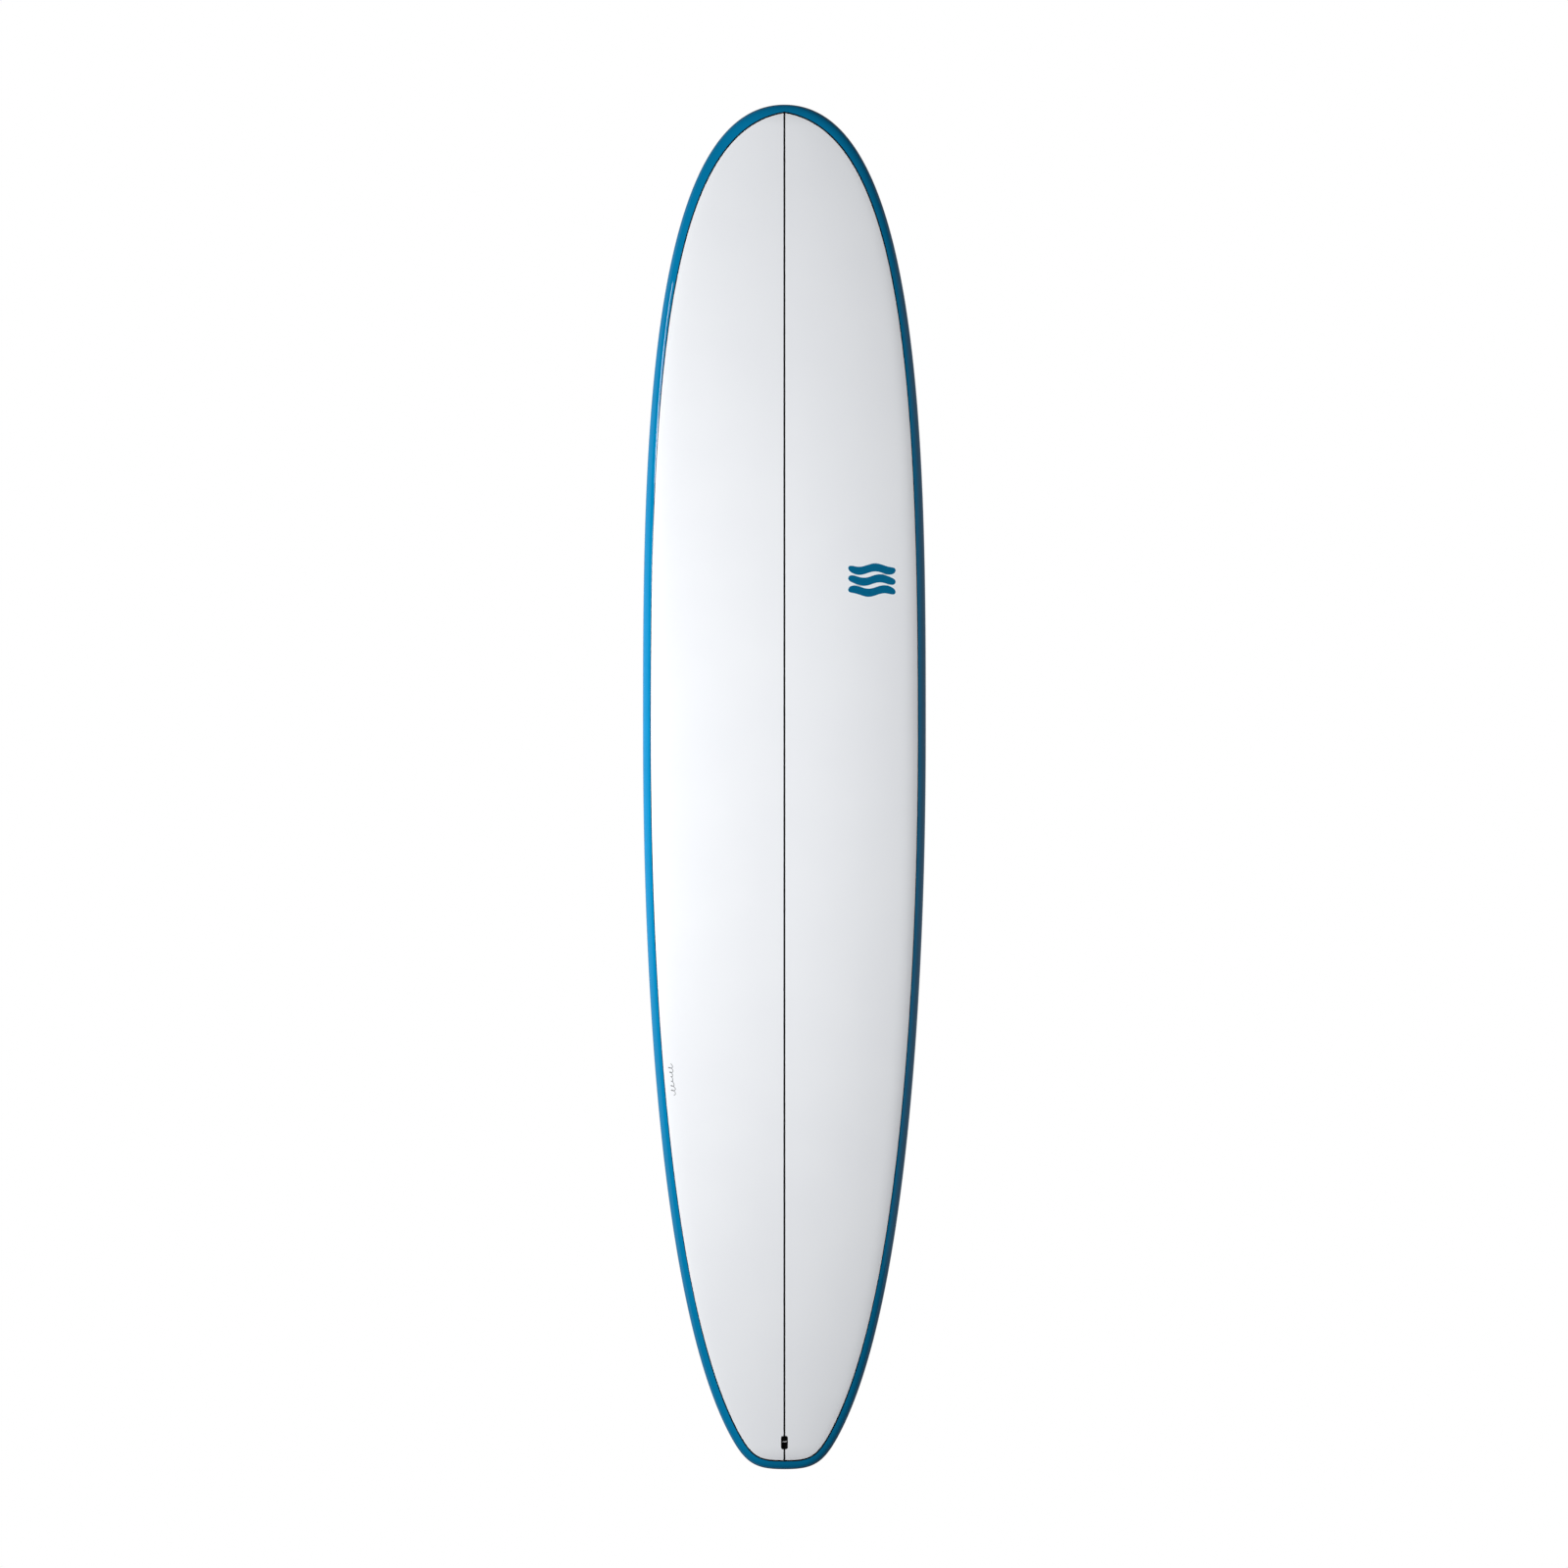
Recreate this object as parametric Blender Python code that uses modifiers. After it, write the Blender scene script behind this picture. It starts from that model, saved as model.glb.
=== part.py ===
"""A longboard surfboard: foam core, stringer, laminates, leash plug, fin box and fins.

Run it with blender --background --python part.py, or from Blender's text editor.

Units are metres. +Y points to the nose, +X to the right-hand rail of a rider who faces the
nose, and +Z up out of the deck. The origin is under the middle of the board's length, level
with the lowest point of the centre fin. "Station" below is the distance from the tail end.
"""

import math

import bmesh
import bpy
import numpy as np
from mathutils import Matrix, Vector
from mathutils.geometry import interpolate_bezier

# ---------------------------------------------------------------- driving dimensions
LENGTH = 2.743
THICKNESS = 0.076
NOSE_THICKNESS = 0.026
TAIL_THICKNESS = 0.028
THICKEST_STATION = 0.52 * LENGTH
FOIL_POWER = 2.3
DECK_SHARE = 0.7
NOSE_ROCKER = 0.115
TAIL_ROCKER = 0.085
LOW_STATION = 0.46 * LENGTH
NOSE_ROCKER_POWER = 3.0
TAIL_ROCKER_POWER = 2.4
DECK_CROWN_POWER = 2.4
ROLL_SHARE = 0.6
ROLL_POWER = 3.0
RAIL_ROLL = 0.0606
BOTTOM_CROWN_POWER = 5.0
END_ROUNDING = 0.045

LAMINATE = 0.0008
GAP = 0.0003
STRINGER_THICKNESS = 0.004

# Steps and margins of the modelling itself.
FINE_STEPS = 4000
CORNER_SEGMENTS = 4
CORNER_TRIM = 0.0001
CUT_ABOVE = 0.001
POCKET_ABOVE = 0.01
TINY = 1e-9
WELD_DISTANCE = 1e-6
CUT_DISTANCE = 1e-7
SHARP_ANGLE = math.radians(35.0)

# Plan outlines, half of each, as Bezier handles: x is the half width, y the station.
BOARD_PLAN = {
    "tail": (0.0, 0.0),
    "tail_handle": 0.0565,
    "corner": (0.1094, 0.0683),
    "corner_lean": 0.4931,
    "corner_handles": (0.0669, 0.2839),
    "wide": (0.2849, 1.4773),
    "wide_handles": (0.5308, 0.4998),
    "nose": (0.0, LENGTH),
    "nose_handle": (0.2883, 0.0),
}
DECK_PLAN = {
    "tail": (0.0, 0.0188),
    "tail_handle": 0.0468,
    "corner": (0.0905, 0.0725),
    "corner_lean": 0.5001,
    "corner_handles": (0.0576, 0.2839),
    "wide": (0.2685, 1.4844),
    "wide_handles": (0.5342, 0.6907),
    "nose": (0.0, LENGTH - 0.0175),
    "nose_handle": (0.2388, 0.0377),
}
TAIL_ROWS = 5
BODY_ROWS = 9
NOSE_ROWS = 16
NOSE_CROWDING = 1.35
TAIL_FAN = 0.30
NOSE_FAN = 0.40
ROW_SLANT = 0.5

# Lanes run across the board: 0 is the stringer, 1 the edge of the white deck, 2 the rail.
DECK_LANES = [0.0, 0.38, 0.70, 0.87, 0.95, 1.0]
PINLINE_LANES = [1.02, 1.13]
BAND_LANE = 1.15
BAND_STEPS = 3

# Leash plug, let into the deck near the tail.
LEASH_STATION = 0.054
LEASH_WIDTH = 0.014
LEASH_LENGTH = 0.027
LEASH_CORNER = 0.0045
LEASH_DEPTH = 0.016
LEASH_WALL = 0.0018
LEASH_FLOOR = 0.002
LEASH_PIN_RADIUS = 0.0013
LEASH_PIN_OFFSET = 0.0018
LEASH_PIN_DEPTH = 0.0032
LEASH_PIN_SEAT = 0.0009

# Centre fin box, let into the bottom on the stringer line.
BOX_STATIONS = (0.090, 0.357)
BOX_WIDTH = 0.0254
BOX_DEPTH = 0.019
BOX_END_WALL = 0.008
SLOT_WIDTH = 0.0098
SLOT_DEPTH = 0.0168
CHANNEL_WIDTH = 0.015
CHANNEL_TOP = 0.0095
CHANNEL_HEIGHT = 0.0042
CHANNEL_INSET = 0.002
ENTRY_POSITION = 0.108
ENTRY_LENGTH = 0.014

# Centre fin and its hardware, in the box's frame: y forward, z out of the bottom.
FIN_TAB_WIDTH = SLOT_WIDTH - 2 * GAP
FIN_TAB_REAR = -0.090
FIN_TAB_FRONT = 0.073
FIN_TAB_DEPTH = 0.0162
FIN_EAR_FRONT = 0.090
FIN_EAR_SPAN = (0.0012, 0.0042)
FIN_LEADING = [(0.071, 0.0), (0.049, 0.085), (-0.008, 0.168), (-0.116, 0.178)]
FIN_TRAILING = [(-0.083, 0.0), (-0.052, 0.066), (-0.068, 0.132), (-0.116, 0.178)]
FIN_THICKNESS = 0.0094
FIN_TIP_THINNING = 0.6
FIN_TIP_POWER = 6
FIN_BASE = 0.0008
FOIL_MEAN = 0.85
FOIL_LEAN = 0.35
TAB_OVERLAP = 0.0016
EAR_OVERLAP = 0.002
SCREW_POSITION = 0.0815
SCREW_RADIUS = 0.002
SCREW_HEAD_RADIUS = 0.0037
SCREW_HEAD_HEIGHT = 0.0022
DRIVE_SIZE = 0.001
SCREW_END = 0.0155
NUT_SIZE = (0.0140, 0.0120, 0.0032)
PIN_POSITION = -0.080
PIN_RADIUS = 0.0018
PIN_LENGTH = 0.0142

# Side fins: each stands square to the bottom on two plugs.
SIDE_STATION = 0.310
SIDE_OFFSET = 0.140
SIDE_TOE_IN = math.radians(3.0)
SIDE_LEADING = [(0.054, 0.0), (0.036, 0.045), (0.002, 0.088), (-0.060, 0.097)]
SIDE_TRAILING = [(-0.052, 0.0), (-0.036, 0.036), (-0.040, 0.070), (-0.060, 0.097)]
SIDE_THICKNESS = 0.0062
SIDE_BASE = 0.0006
TAB_SIZE = (0.0060, 0.0144, 0.0105)
PLUG_SPACING = 0.066
PLUG_RADIUS = 0.0125
PLUG_DEPTH = 0.0135
PLUG_SLOT_DEPTH = 0.0112
GRUB_RADIUS = 0.0020
GRUB_LENGTH = 0.0070
GRUB_LEAN = math.radians(20.0)
GRUB_ENTRY = 0.0082
GRUB_SINK = 0.0012
GRUB_HOLE_BEYOND = 0.0015
GRUB_HOLE_ABOVE = 0.004
SIDE_TAB_OVERLAP = 0.0014
PIN_SIDES = 12
GRUB_SIDES = 10
HEAD_SIDES = 20
PLUG_SIDES = 24

# Decal on the right of the deck.
DECAL_CENTRE = (0.176, 1.788)
DECAL_SIZE = (0.100, 0.067)
DECAL_FILM = 0.0004
DECAL_GRID = (6, 3)

COLLECTION = "surfboard"
CUTTERS = "surfboard_cutters"

# Colour, roughness and metallic value of each finish.
FINISHES = {
    "foam": ((0.90, 0.90, 0.87), 0.9, 0.0),
    "stringer_wood": ((0.05, 0.05, 0.05), 0.6, 0.0),
    "white_laminate": ((0.86, 0.87, 0.89), 0.18, 0.0),
    "blue_laminate": ((0.0, 0.22, 0.42), 0.18, 0.0),
    "pinline_resin": ((0.01, 0.01, 0.01), 0.25, 0.0),
    "black_plastic": ((0.015, 0.015, 0.015), 0.4, 0.0),
    "fin_composite": ((0.02, 0.025, 0.03), 0.3, 0.0),
    "stainless": ((0.55, 0.55, 0.56), 0.3, 1.0),
    "brass": ((0.60, 0.45, 0.18), 0.35, 1.0),
    "decal_film": ((0.0, 0.12, 0.26), 0.3, 0.0),
}


# ---------------------------------------------------------------- scene helpers
def clear_scene():
    for obj in list(bpy.data.objects):
        bpy.data.objects.remove(obj, do_unlink=True)
    for name in (COLLECTION, CUTTERS):
        if name in bpy.data.collections:
            bpy.data.collections.remove(bpy.data.collections[name])
        collection = bpy.data.collections.new(name)
        bpy.context.scene.collection.children.link(collection)


def finish_material(finish):
    if finish in bpy.data.materials:
        return bpy.data.materials[finish]
    colour, roughness, metallic = FINISHES[finish]
    material = bpy.data.materials.new(finish)
    material.use_nodes = True
    shader = material.node_tree.nodes["Principled BSDF"]
    shader.inputs["Base Color"].default_value = (*colour, 1.0)
    shader.inputs["Roughness"].default_value = roughness
    shader.inputs["Metallic"].default_value = metallic
    return material


def add_object(name, bm, finish=None, parent=None):
    """Turn a bmesh into a named part, or into a hidden cutter when it has no finish."""
    mesh = bpy.data.meshes.new(name)
    bm.to_mesh(mesh)
    bm.free()
    mesh.shade_smooth()
    mesh.set_sharp_from_angle(angle=SHARP_ANGLE)
    obj = bpy.data.objects.new(name, mesh)
    obj.parent = parent
    if finish:
        mesh.materials.append(finish_material(finish))
        bpy.data.collections[COLLECTION].objects.link(obj)
    else:
        obj.hide_render = True
        obj.display_type = "WIRE"
        bpy.data.collections[CUTTERS].objects.link(obj)
    return obj


def add_frame(name, matrix, parent):
    """An empty that carries the pieces built in its own axes."""
    empty = bpy.data.objects.new(name, None)
    empty.empty_display_size = 0.05
    empty.parent = parent
    empty.matrix_local = matrix
    bpy.data.collections[COLLECTION].objects.link(empty)
    return empty


def combine(target, tool, operation):
    modifier = target.modifiers.new(tool.name, "BOOLEAN")
    modifier.operation = operation
    modifier.object = tool


def cut(target, *tools):
    for tool in tools:
        combine(target, tool, "DIFFERENCE")


def thicken(obj, thickness):
    """Grow the wall of an open sheet inwards, away from its outward face."""
    modifier = obj.modifiers.new("wall", "SOLIDIFY")
    modifier.thickness = thickness
    modifier.offset = -1.0


# ---------------------------------------------------------------- solids in a frame
def block(size, low, corner=0.0):
    """A box of size (x, y, z) from its lowest corner, upright edges rounded by corner."""
    bm = bmesh.new()
    bmesh.ops.create_cube(bm, size=1.0)
    bmesh.ops.scale(bm, vec=size, verts=bm.verts)
    centre = Vector(low) + Vector(size) / 2.0
    bmesh.ops.translate(bm, vec=centre, verts=bm.verts)
    if corner:
        upright = [
            edge for edge in bm.edges
            if abs((edge.verts[0].co - edge.verts[1].co).z) > size[2] / 2.0
        ]
        bmesh.ops.bevel(
            bm, geom=upright, offset=corner, segments=CORNER_SEGMENTS, profile=0.5,
            affect="EDGES", material=-1,
        )
    return bm


def centred_block(width, length, z_range, y_centre=0.0, corner=0.0):
    low = (-width / 2.0, y_centre - length / 2.0, z_range[0])
    return block((width, length, z_range[1] - z_range[0]), low, corner)


def cylinder(radius, z_range, matrix=None, segments=16):
    bm = bmesh.new()
    height = z_range[1] - z_range[0]
    bmesh.ops.create_cone(
        bm, cap_ends=True, segments=segments, radius1=radius, radius2=radius, depth=height
    )
    bmesh.ops.translate(bm, vec=(0.0, 0.0, (z_range[0] + z_range[1]) / 2.0), verts=bm.verts)
    if matrix:
        bmesh.ops.transform(bm, matrix=matrix, verts=bm.verts)
    return bm


def add_sheet(bm, rows, columns, place):
    """Add a grid of rows by columns whose corners lie at place(row, column)."""
    grid = bmesh.ops.create_grid(bm, x_segments=columns, y_segments=rows, size=0.5)
    for vert in grid["verts"]:
        row = round((vert.co.y + 0.5) * rows)
        column = round((vert.co.x + 0.5) * columns)
        vert.co = place(row, column)


def weld(bm):
    bmesh.ops.remove_doubles(bm, verts=bm.verts, dist=WELD_DISTANCE)


# ---------------------------------------------------------------- shape of the hull
def plan_curve(plan, shares):
    """Points (half width, station) from tail to nose; shares are each stretch's steps, 0 to 1."""
    lean = Vector((math.sin(plan["corner_lean"]), math.cos(plan["corner_lean"])))
    tail, corner, wide, nose = (Vector(plan[key]) for key in ("tail", "corner", "wide", "nose"))
    back, forward = plan["corner_handles"]
    wide_back, wide_forward = plan["wide_handles"]
    nose_out, nose_down = plan["nose_handle"]
    stretches = [
        (tail, tail + Vector((plan["tail_handle"], 0.0)), corner - back * lean, corner),
        (corner, corner + forward * lean, wide - Vector((0.0, wide_back)), wide),
        (wide, wide + Vector((0.0, wide_forward)), nose + Vector((nose_out, -nose_down)), nose),
    ]
    points = [tail]
    for (a, b, c, d), steps in zip(stretches, shares):
        for t in steps:
            u = 1.0 - t
            points.append(u**3 * a + 3 * u * u * t * b + 3 * u * t * t * c + t**3 * d)
    return np.array(points)


def even_steps(count):
    return [(k + 1) / count for k in range(count)]


def crowded_steps(count, power):
    return [1.0 - (1.0 - (k + 1) / count) ** power for k in range(count)]


FINE_OUTLINE = plan_curve(BOARD_PLAN, [even_steps(FINE_STEPS)] * 3)
ROW_STEPS = [even_steps(TAIL_ROWS), even_steps(BODY_ROWS), crowded_steps(NOSE_ROWS, NOSE_CROWDING)]
DECK_EDGE = plan_curve(DECK_PLAN, ROW_STEPS)
LAST_ROW = len(DECK_EDGE) - 1


def nearest_on_outline(point):
    return FINE_OUTLINE[np.argmin(np.linalg.norm(FINE_OUTLINE - point, axis=1))]


RAIL_EDGE = np.array([nearest_on_outline(point) for point in DECK_EDGE])


def half_width(station):
    return float(np.interp(station, FINE_OUTLINE[:, 1], FINE_OUTLINE[:, 0]))


def foil(station):
    """Full thickness at the stringer, before the ends are rounded off."""
    if station > THICKEST_STATION:
        share = (station - THICKEST_STATION) / (LENGTH - THICKEST_STATION)
        end = NOSE_THICKNESS
    else:
        share = (THICKEST_STATION - station) / THICKEST_STATION
        end = TAIL_THICKNESS
    return THICKNESS - (THICKNESS - end) * share**FOIL_POWER


def rocker(station):
    if station > LOW_STATION:
        return NOSE_ROCKER * ((station - LOW_STATION) / (LENGTH - LOW_STATION)) ** NOSE_ROCKER_POWER
    return TAIL_ROCKER * ((LOW_STATION - station) / LOW_STATION) ** TAIL_ROCKER_POWER


def end_rounding(station):
    inset = min(max(min(station, LENGTH - station) / END_ROUNDING, 0.0), 1.0)
    return math.sqrt(1.0 - (1.0 - inset) ** 2)


def rail_height(station):
    return rocker(station) + (1.0 - DECK_SHARE) * foil(station)


def crown(x, station, side):
    """Share of the height over the rail line that is left at x: 1 at the stringer, 0 at the rail.

    The bottom is one flat curve. The deck falls slowly to its edge and then rolls down quickly.
    """
    width = max(half_width(station), TINY)
    share = min(abs(x) / width, 1.0)
    if side < 0:
        return math.sqrt(1.0 - share**BOTTOM_CROWN_POWER)
    roll_width = RAIL_ROLL * width / (RAIL_ROLL + width)
    roll = max(0.0, 1.0 - width * (1.0 - share) / roll_width)
    fall = (1.0 - ROLL_SHARE) * (1.0 - share**DECK_CROWN_POWER)
    return fall + ROLL_SHARE * math.sqrt(1.0 - roll**ROLL_POWER)


def skin_height(x, station, side):
    """Height of the deck (side 1) or of the bottom (side -1)."""
    depth = foil(station) * (DECK_SHARE if side > 0 else 1.0 - DECK_SHARE)
    return rail_height(station) + side * depth * end_rounding(station) * crown(x, station, side)


def skin_point(x, station, side):
    return Vector((x, station - LENGTH / 2.0, skin_height(x, station, side)))


def stringer_station(edge):
    """Where the row that ends at this point of the deck's edge meets the stringer.

    Rows run square across the board, and slant towards its middle near the blunt ends, so
    that they fan out there and leave no slivers.
    """
    x, station = edge
    tail_lean = max(0.0, 1.0 - station / TAIL_FAN)
    nose_lean = max(0.0, 1.0 - (LENGTH - station) / NOSE_FAN)
    return station + ROW_SLANT * x * (tail_lean - nose_lean)


def hull_point(row, lane, side, right=1.0):
    """A point of the hull: lane 0 to 1 crosses the deck, 1 to 2 the band out to the rail."""
    edge = DECK_EDGE[row]
    if lane > 1.0:
        x, station = edge + (lane - 1.0) * (RAIL_EDGE[row] - edge)
    else:
        start = stringer_station(edge)
        x, station = edge[0] * lane, start + (edge[1] - start) * lane
    point = skin_point(right * x, station, side)
    if lane >= 2.0:
        point.z = rail_height(station)
    return point


def band_lanes():
    """Lanes from the pinline to the rail, at even steps of height round the curve."""
    width = 2.0 - BAND_LANE
    return [2.0 - width * (1.0 - k / BAND_STEPS) ** 2 for k in range(BAND_STEPS + 1)]


def add_face_sheet(bm, side):
    """The deck (side 1) or the bottom (side -1) from deck edge to deck edge."""
    lanes = [-lane for lane in reversed(DECK_LANES[1:])] + DECK_LANES
    lanes = [side * lane for lane in lanes]

    def place(row, column):
        lane = lanes[column]
        return hull_point(row, abs(lane), side, math.copysign(1.0, lane))

    add_sheet(bm, LAST_ROW, len(lanes) - 1, place)


def add_ring(bm, lanes):
    """A strip right round the board; lanes are (lane, side) pairs from deck to bottom."""

    def place(row, column):
        lane, side = lanes[column]
        if row <= LAST_ROW:
            return hull_point(row, lane, side)
        return hull_point(2 * LAST_ROW - row, lane, side, -1.0)

    add_sheet(bm, 2 * LAST_ROW, len(lanes) - 1, place)


def rail_lanes(inner):
    """(lane, side) pairs round the rail from the inner lanes of the deck to the bottom's."""
    lanes = inner + band_lanes()
    return [(lane, 1) for lane in lanes] + [(lane, -1) for lane in reversed(lanes[:-1])]


def shaped_blank():
    """The closed hull, one laminate and one gap smaller all round."""
    bm = bmesh.new()
    add_face_sheet(bm, 1)
    add_face_sheet(bm, -1)
    add_ring(bm, rail_lanes([1.0]))
    weld(bm)
    bm.normal_update()
    for vert, normal in [(v, v.normal.copy()) for v in bm.verts]:
        vert.co -= (LAMINATE + GAP) * normal
    return bm


def slice_blank(low, high):
    """The stretch of the shaped blank between two upright planes across X."""
    bm = shaped_blank()
    for x, outward in ((low, -1.0), (high, 1.0)):
        if x is None:
            continue
        geometry = list(bm.verts) + list(bm.edges) + list(bm.faces)
        plane = {"plane_co": (x, 0.0, 0.0), "plane_no": (outward, 0.0, 0.0)}
        sliced = bmesh.ops.bisect_plane(
            bm, geom=geometry, dist=CUT_DISTANCE, clear_outer=True, **plane
        )
        rim = [e for e in sliced["geom_cut"] if isinstance(e, bmesh.types.BMEdge)]
        bmesh.ops.contextual_create(bm, geom=rim)
    bmesh.ops.recalc_face_normals(bm, faces=bm.faces)
    return bm


def make_core(board):
    half = STRINGER_THICKNESS / 2.0
    return [
        add_object("foam_core_left", slice_blank(None, -half - GAP), "foam", board),
        add_object("foam_core_right", slice_blank(half + GAP, None), "foam", board),
        add_object("stringer", slice_blank(-half, half), "stringer_wood", board),
    ]


def make_face_laminate(name, side, board):
    bm = bmesh.new()
    add_face_sheet(bm, side)
    weld(bm)
    laminate = add_object(name, bm, "white_laminate", board)
    thicken(laminate, LAMINATE)
    return laminate


def make_rail(board):
    bm = bmesh.new()
    add_ring(bm, rail_lanes([]))
    weld(bm)
    thicken(add_object("rail_laminate", bm, "blue_laminate", board), LAMINATE)


def make_pinline(name, side, board):
    bm = bmesh.new()
    lanes = [(lane, side) for lane in PINLINE_LANES]
    add_ring(bm, lanes if side > 0 else lanes[::-1])
    weld(bm)
    thicken(add_object(name, bm, "pinline_resin", board), LAMINATE)


def make_decal(board):
    columns, rows = DECAL_GRID

    def place(row, column):
        x = DECAL_CENTRE[0] + DECAL_SIZE[0] * (column / columns - 0.5)
        station = DECAL_CENTRE[1] + DECAL_SIZE[1] * (row / rows - 0.5)
        return skin_point(x, station, 1) + Vector((0.0, 0.0, GAP + DECAL_FILM))

    bm = bmesh.new()
    add_sheet(bm, rows, columns, place)
    thicken(add_object("deck_decal", bm, "decal_film", board), DECAL_FILM)


# ---------------------------------------------------------------- frames on the hull
FRAME_STEP = 0.002


def frame_at(origin, forward, outward):
    """Axes with y close to forward and z along outward."""
    z = outward.normalized()
    x = forward.cross(z).normalized()
    y = z.cross(x)
    rotation = Matrix((x, y, z)).transposed().to_4x4()
    return Matrix.Translation(origin) @ rotation


def skin_frame(x, station, side):
    """A frame that lies on the skin with z pointing out of the board."""
    step = FRAME_STEP
    forward = skin_point(x, station + step, side) - skin_point(x, station - step, side)
    across = skin_point(x + step, station, side) - skin_point(x - step, station, side)
    return frame_at(skin_point(x, station, side), forward, side * across.cross(forward))


def box_frame():
    """The centre fin box lies along the chord of the bottom, sunk by half its bulge."""
    rear, front = (skin_point(0.0, station, -1) for station in BOX_STATIONS)
    middle = skin_point(0.0, sum(BOX_STATIONS) / 2.0, -1)
    forward = front - rear
    frame = frame_at((rear + front) / 2.0, forward, forward.cross(Vector((1.0, 0.0, 0.0))))
    bulge = (frame.inverted() @ middle).z
    return frame @ Matrix.Translation((0.0, 0.0, bulge / 2.0))


def across_at(y, z):
    """A turn that lays a z-axis cylinder across the board at (y, z) of a frame."""
    return Matrix.Translation((0.0, y, z)) @ Matrix.Rotation(math.pi / 2.0, 4, "Y")


# ---------------------------------------------------------------- leash plug
def make_leash_plug(board, pierced):
    frame = add_frame("leash_plug_frame", skin_frame(0.0, LEASH_STATION, 1), board)
    corner = LEASH_CORNER
    cup = add_object(
        "leash_plug_cup",
        centred_block(LEASH_WIDTH, LEASH_LENGTH, (-LEASH_DEPTH, 0.0), corner=corner),
        "black_plastic",
        frame,
    )
    inner_width = LEASH_WIDTH - 2 * LEASH_WALL
    inner_length = LEASH_LENGTH - 2 * LEASH_WALL
    hollow_span = (LEASH_FLOOR - LEASH_DEPTH, CUT_ABOVE)
    hollow_corner = LEASH_CORNER - LEASH_WALL
    hollow = centred_block(inner_width, inner_length, hollow_span, corner=hollow_corner)
    across = across_at(LEASH_PIN_OFFSET, -LEASH_PIN_DEPTH)
    half_pin = inner_width / 2.0 + LEASH_PIN_SEAT
    seat_span = (-half_pin - GAP, half_pin + GAP)
    seat = cylinder(LEASH_PIN_RADIUS + GAP, seat_span, across, PIN_SIDES)
    cut(cup, add_object("cut_leash_hollow", hollow, parent=frame))
    cut(cup, add_object("cut_leash_seat", seat, parent=frame))
    pin = cylinder(LEASH_PIN_RADIUS, (-half_pin, half_pin), across, PIN_SIDES)
    add_object("leash_plug_pin", pin, "stainless", frame)
    room_span = (-LEASH_DEPTH - GAP, POCKET_ABOVE)
    room = centred_block(
        LEASH_WIDTH + 2 * GAP, LEASH_LENGTH + 2 * GAP, room_span, corner=corner + GAP
    )
    pocket = add_object("cut_leash_pocket", room, parent=frame)
    for piece in pierced:
        cut(piece, pocket)


# ---------------------------------------------------------------- fins
def fin_blade(leading, trailing, thickness, base, rows=9, columns=14):
    """A foiled blade: y forward, z out of the bottom, from z = base out to the tip."""
    edges = [
        interpolate_bezier(*(Vector((y, z)) for y, z in edge), rows + 1)
        for edge in (leading, trailing)
    ]

    def place(row, column):
        front, rear = edges[0][row], edges[1][row]
        turn = 2.0 * math.pi * column / columns
        share = (1.0 - math.cos(turn)) / 2.0
        point = front.lerp(rear, share)
        out = row / rows
        taper = thickness * (1.0 - FIN_TIP_THINNING * out) * math.sqrt(1.0 - out**FIN_TIP_POWER)
        half = taper / 2.0 * math.sin(turn) * (FOIL_MEAN + FOIL_LEAN * math.cos(turn))
        return Vector((half, point.x, base + point.y))

    bm = bmesh.new()
    add_sheet(bm, rows, columns, place)
    weld(bm)
    bmesh.ops.holes_fill(bm, edges=bm.edges)
    bmesh.ops.recalc_face_normals(bm, faces=bm.faces)
    return bm


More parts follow.
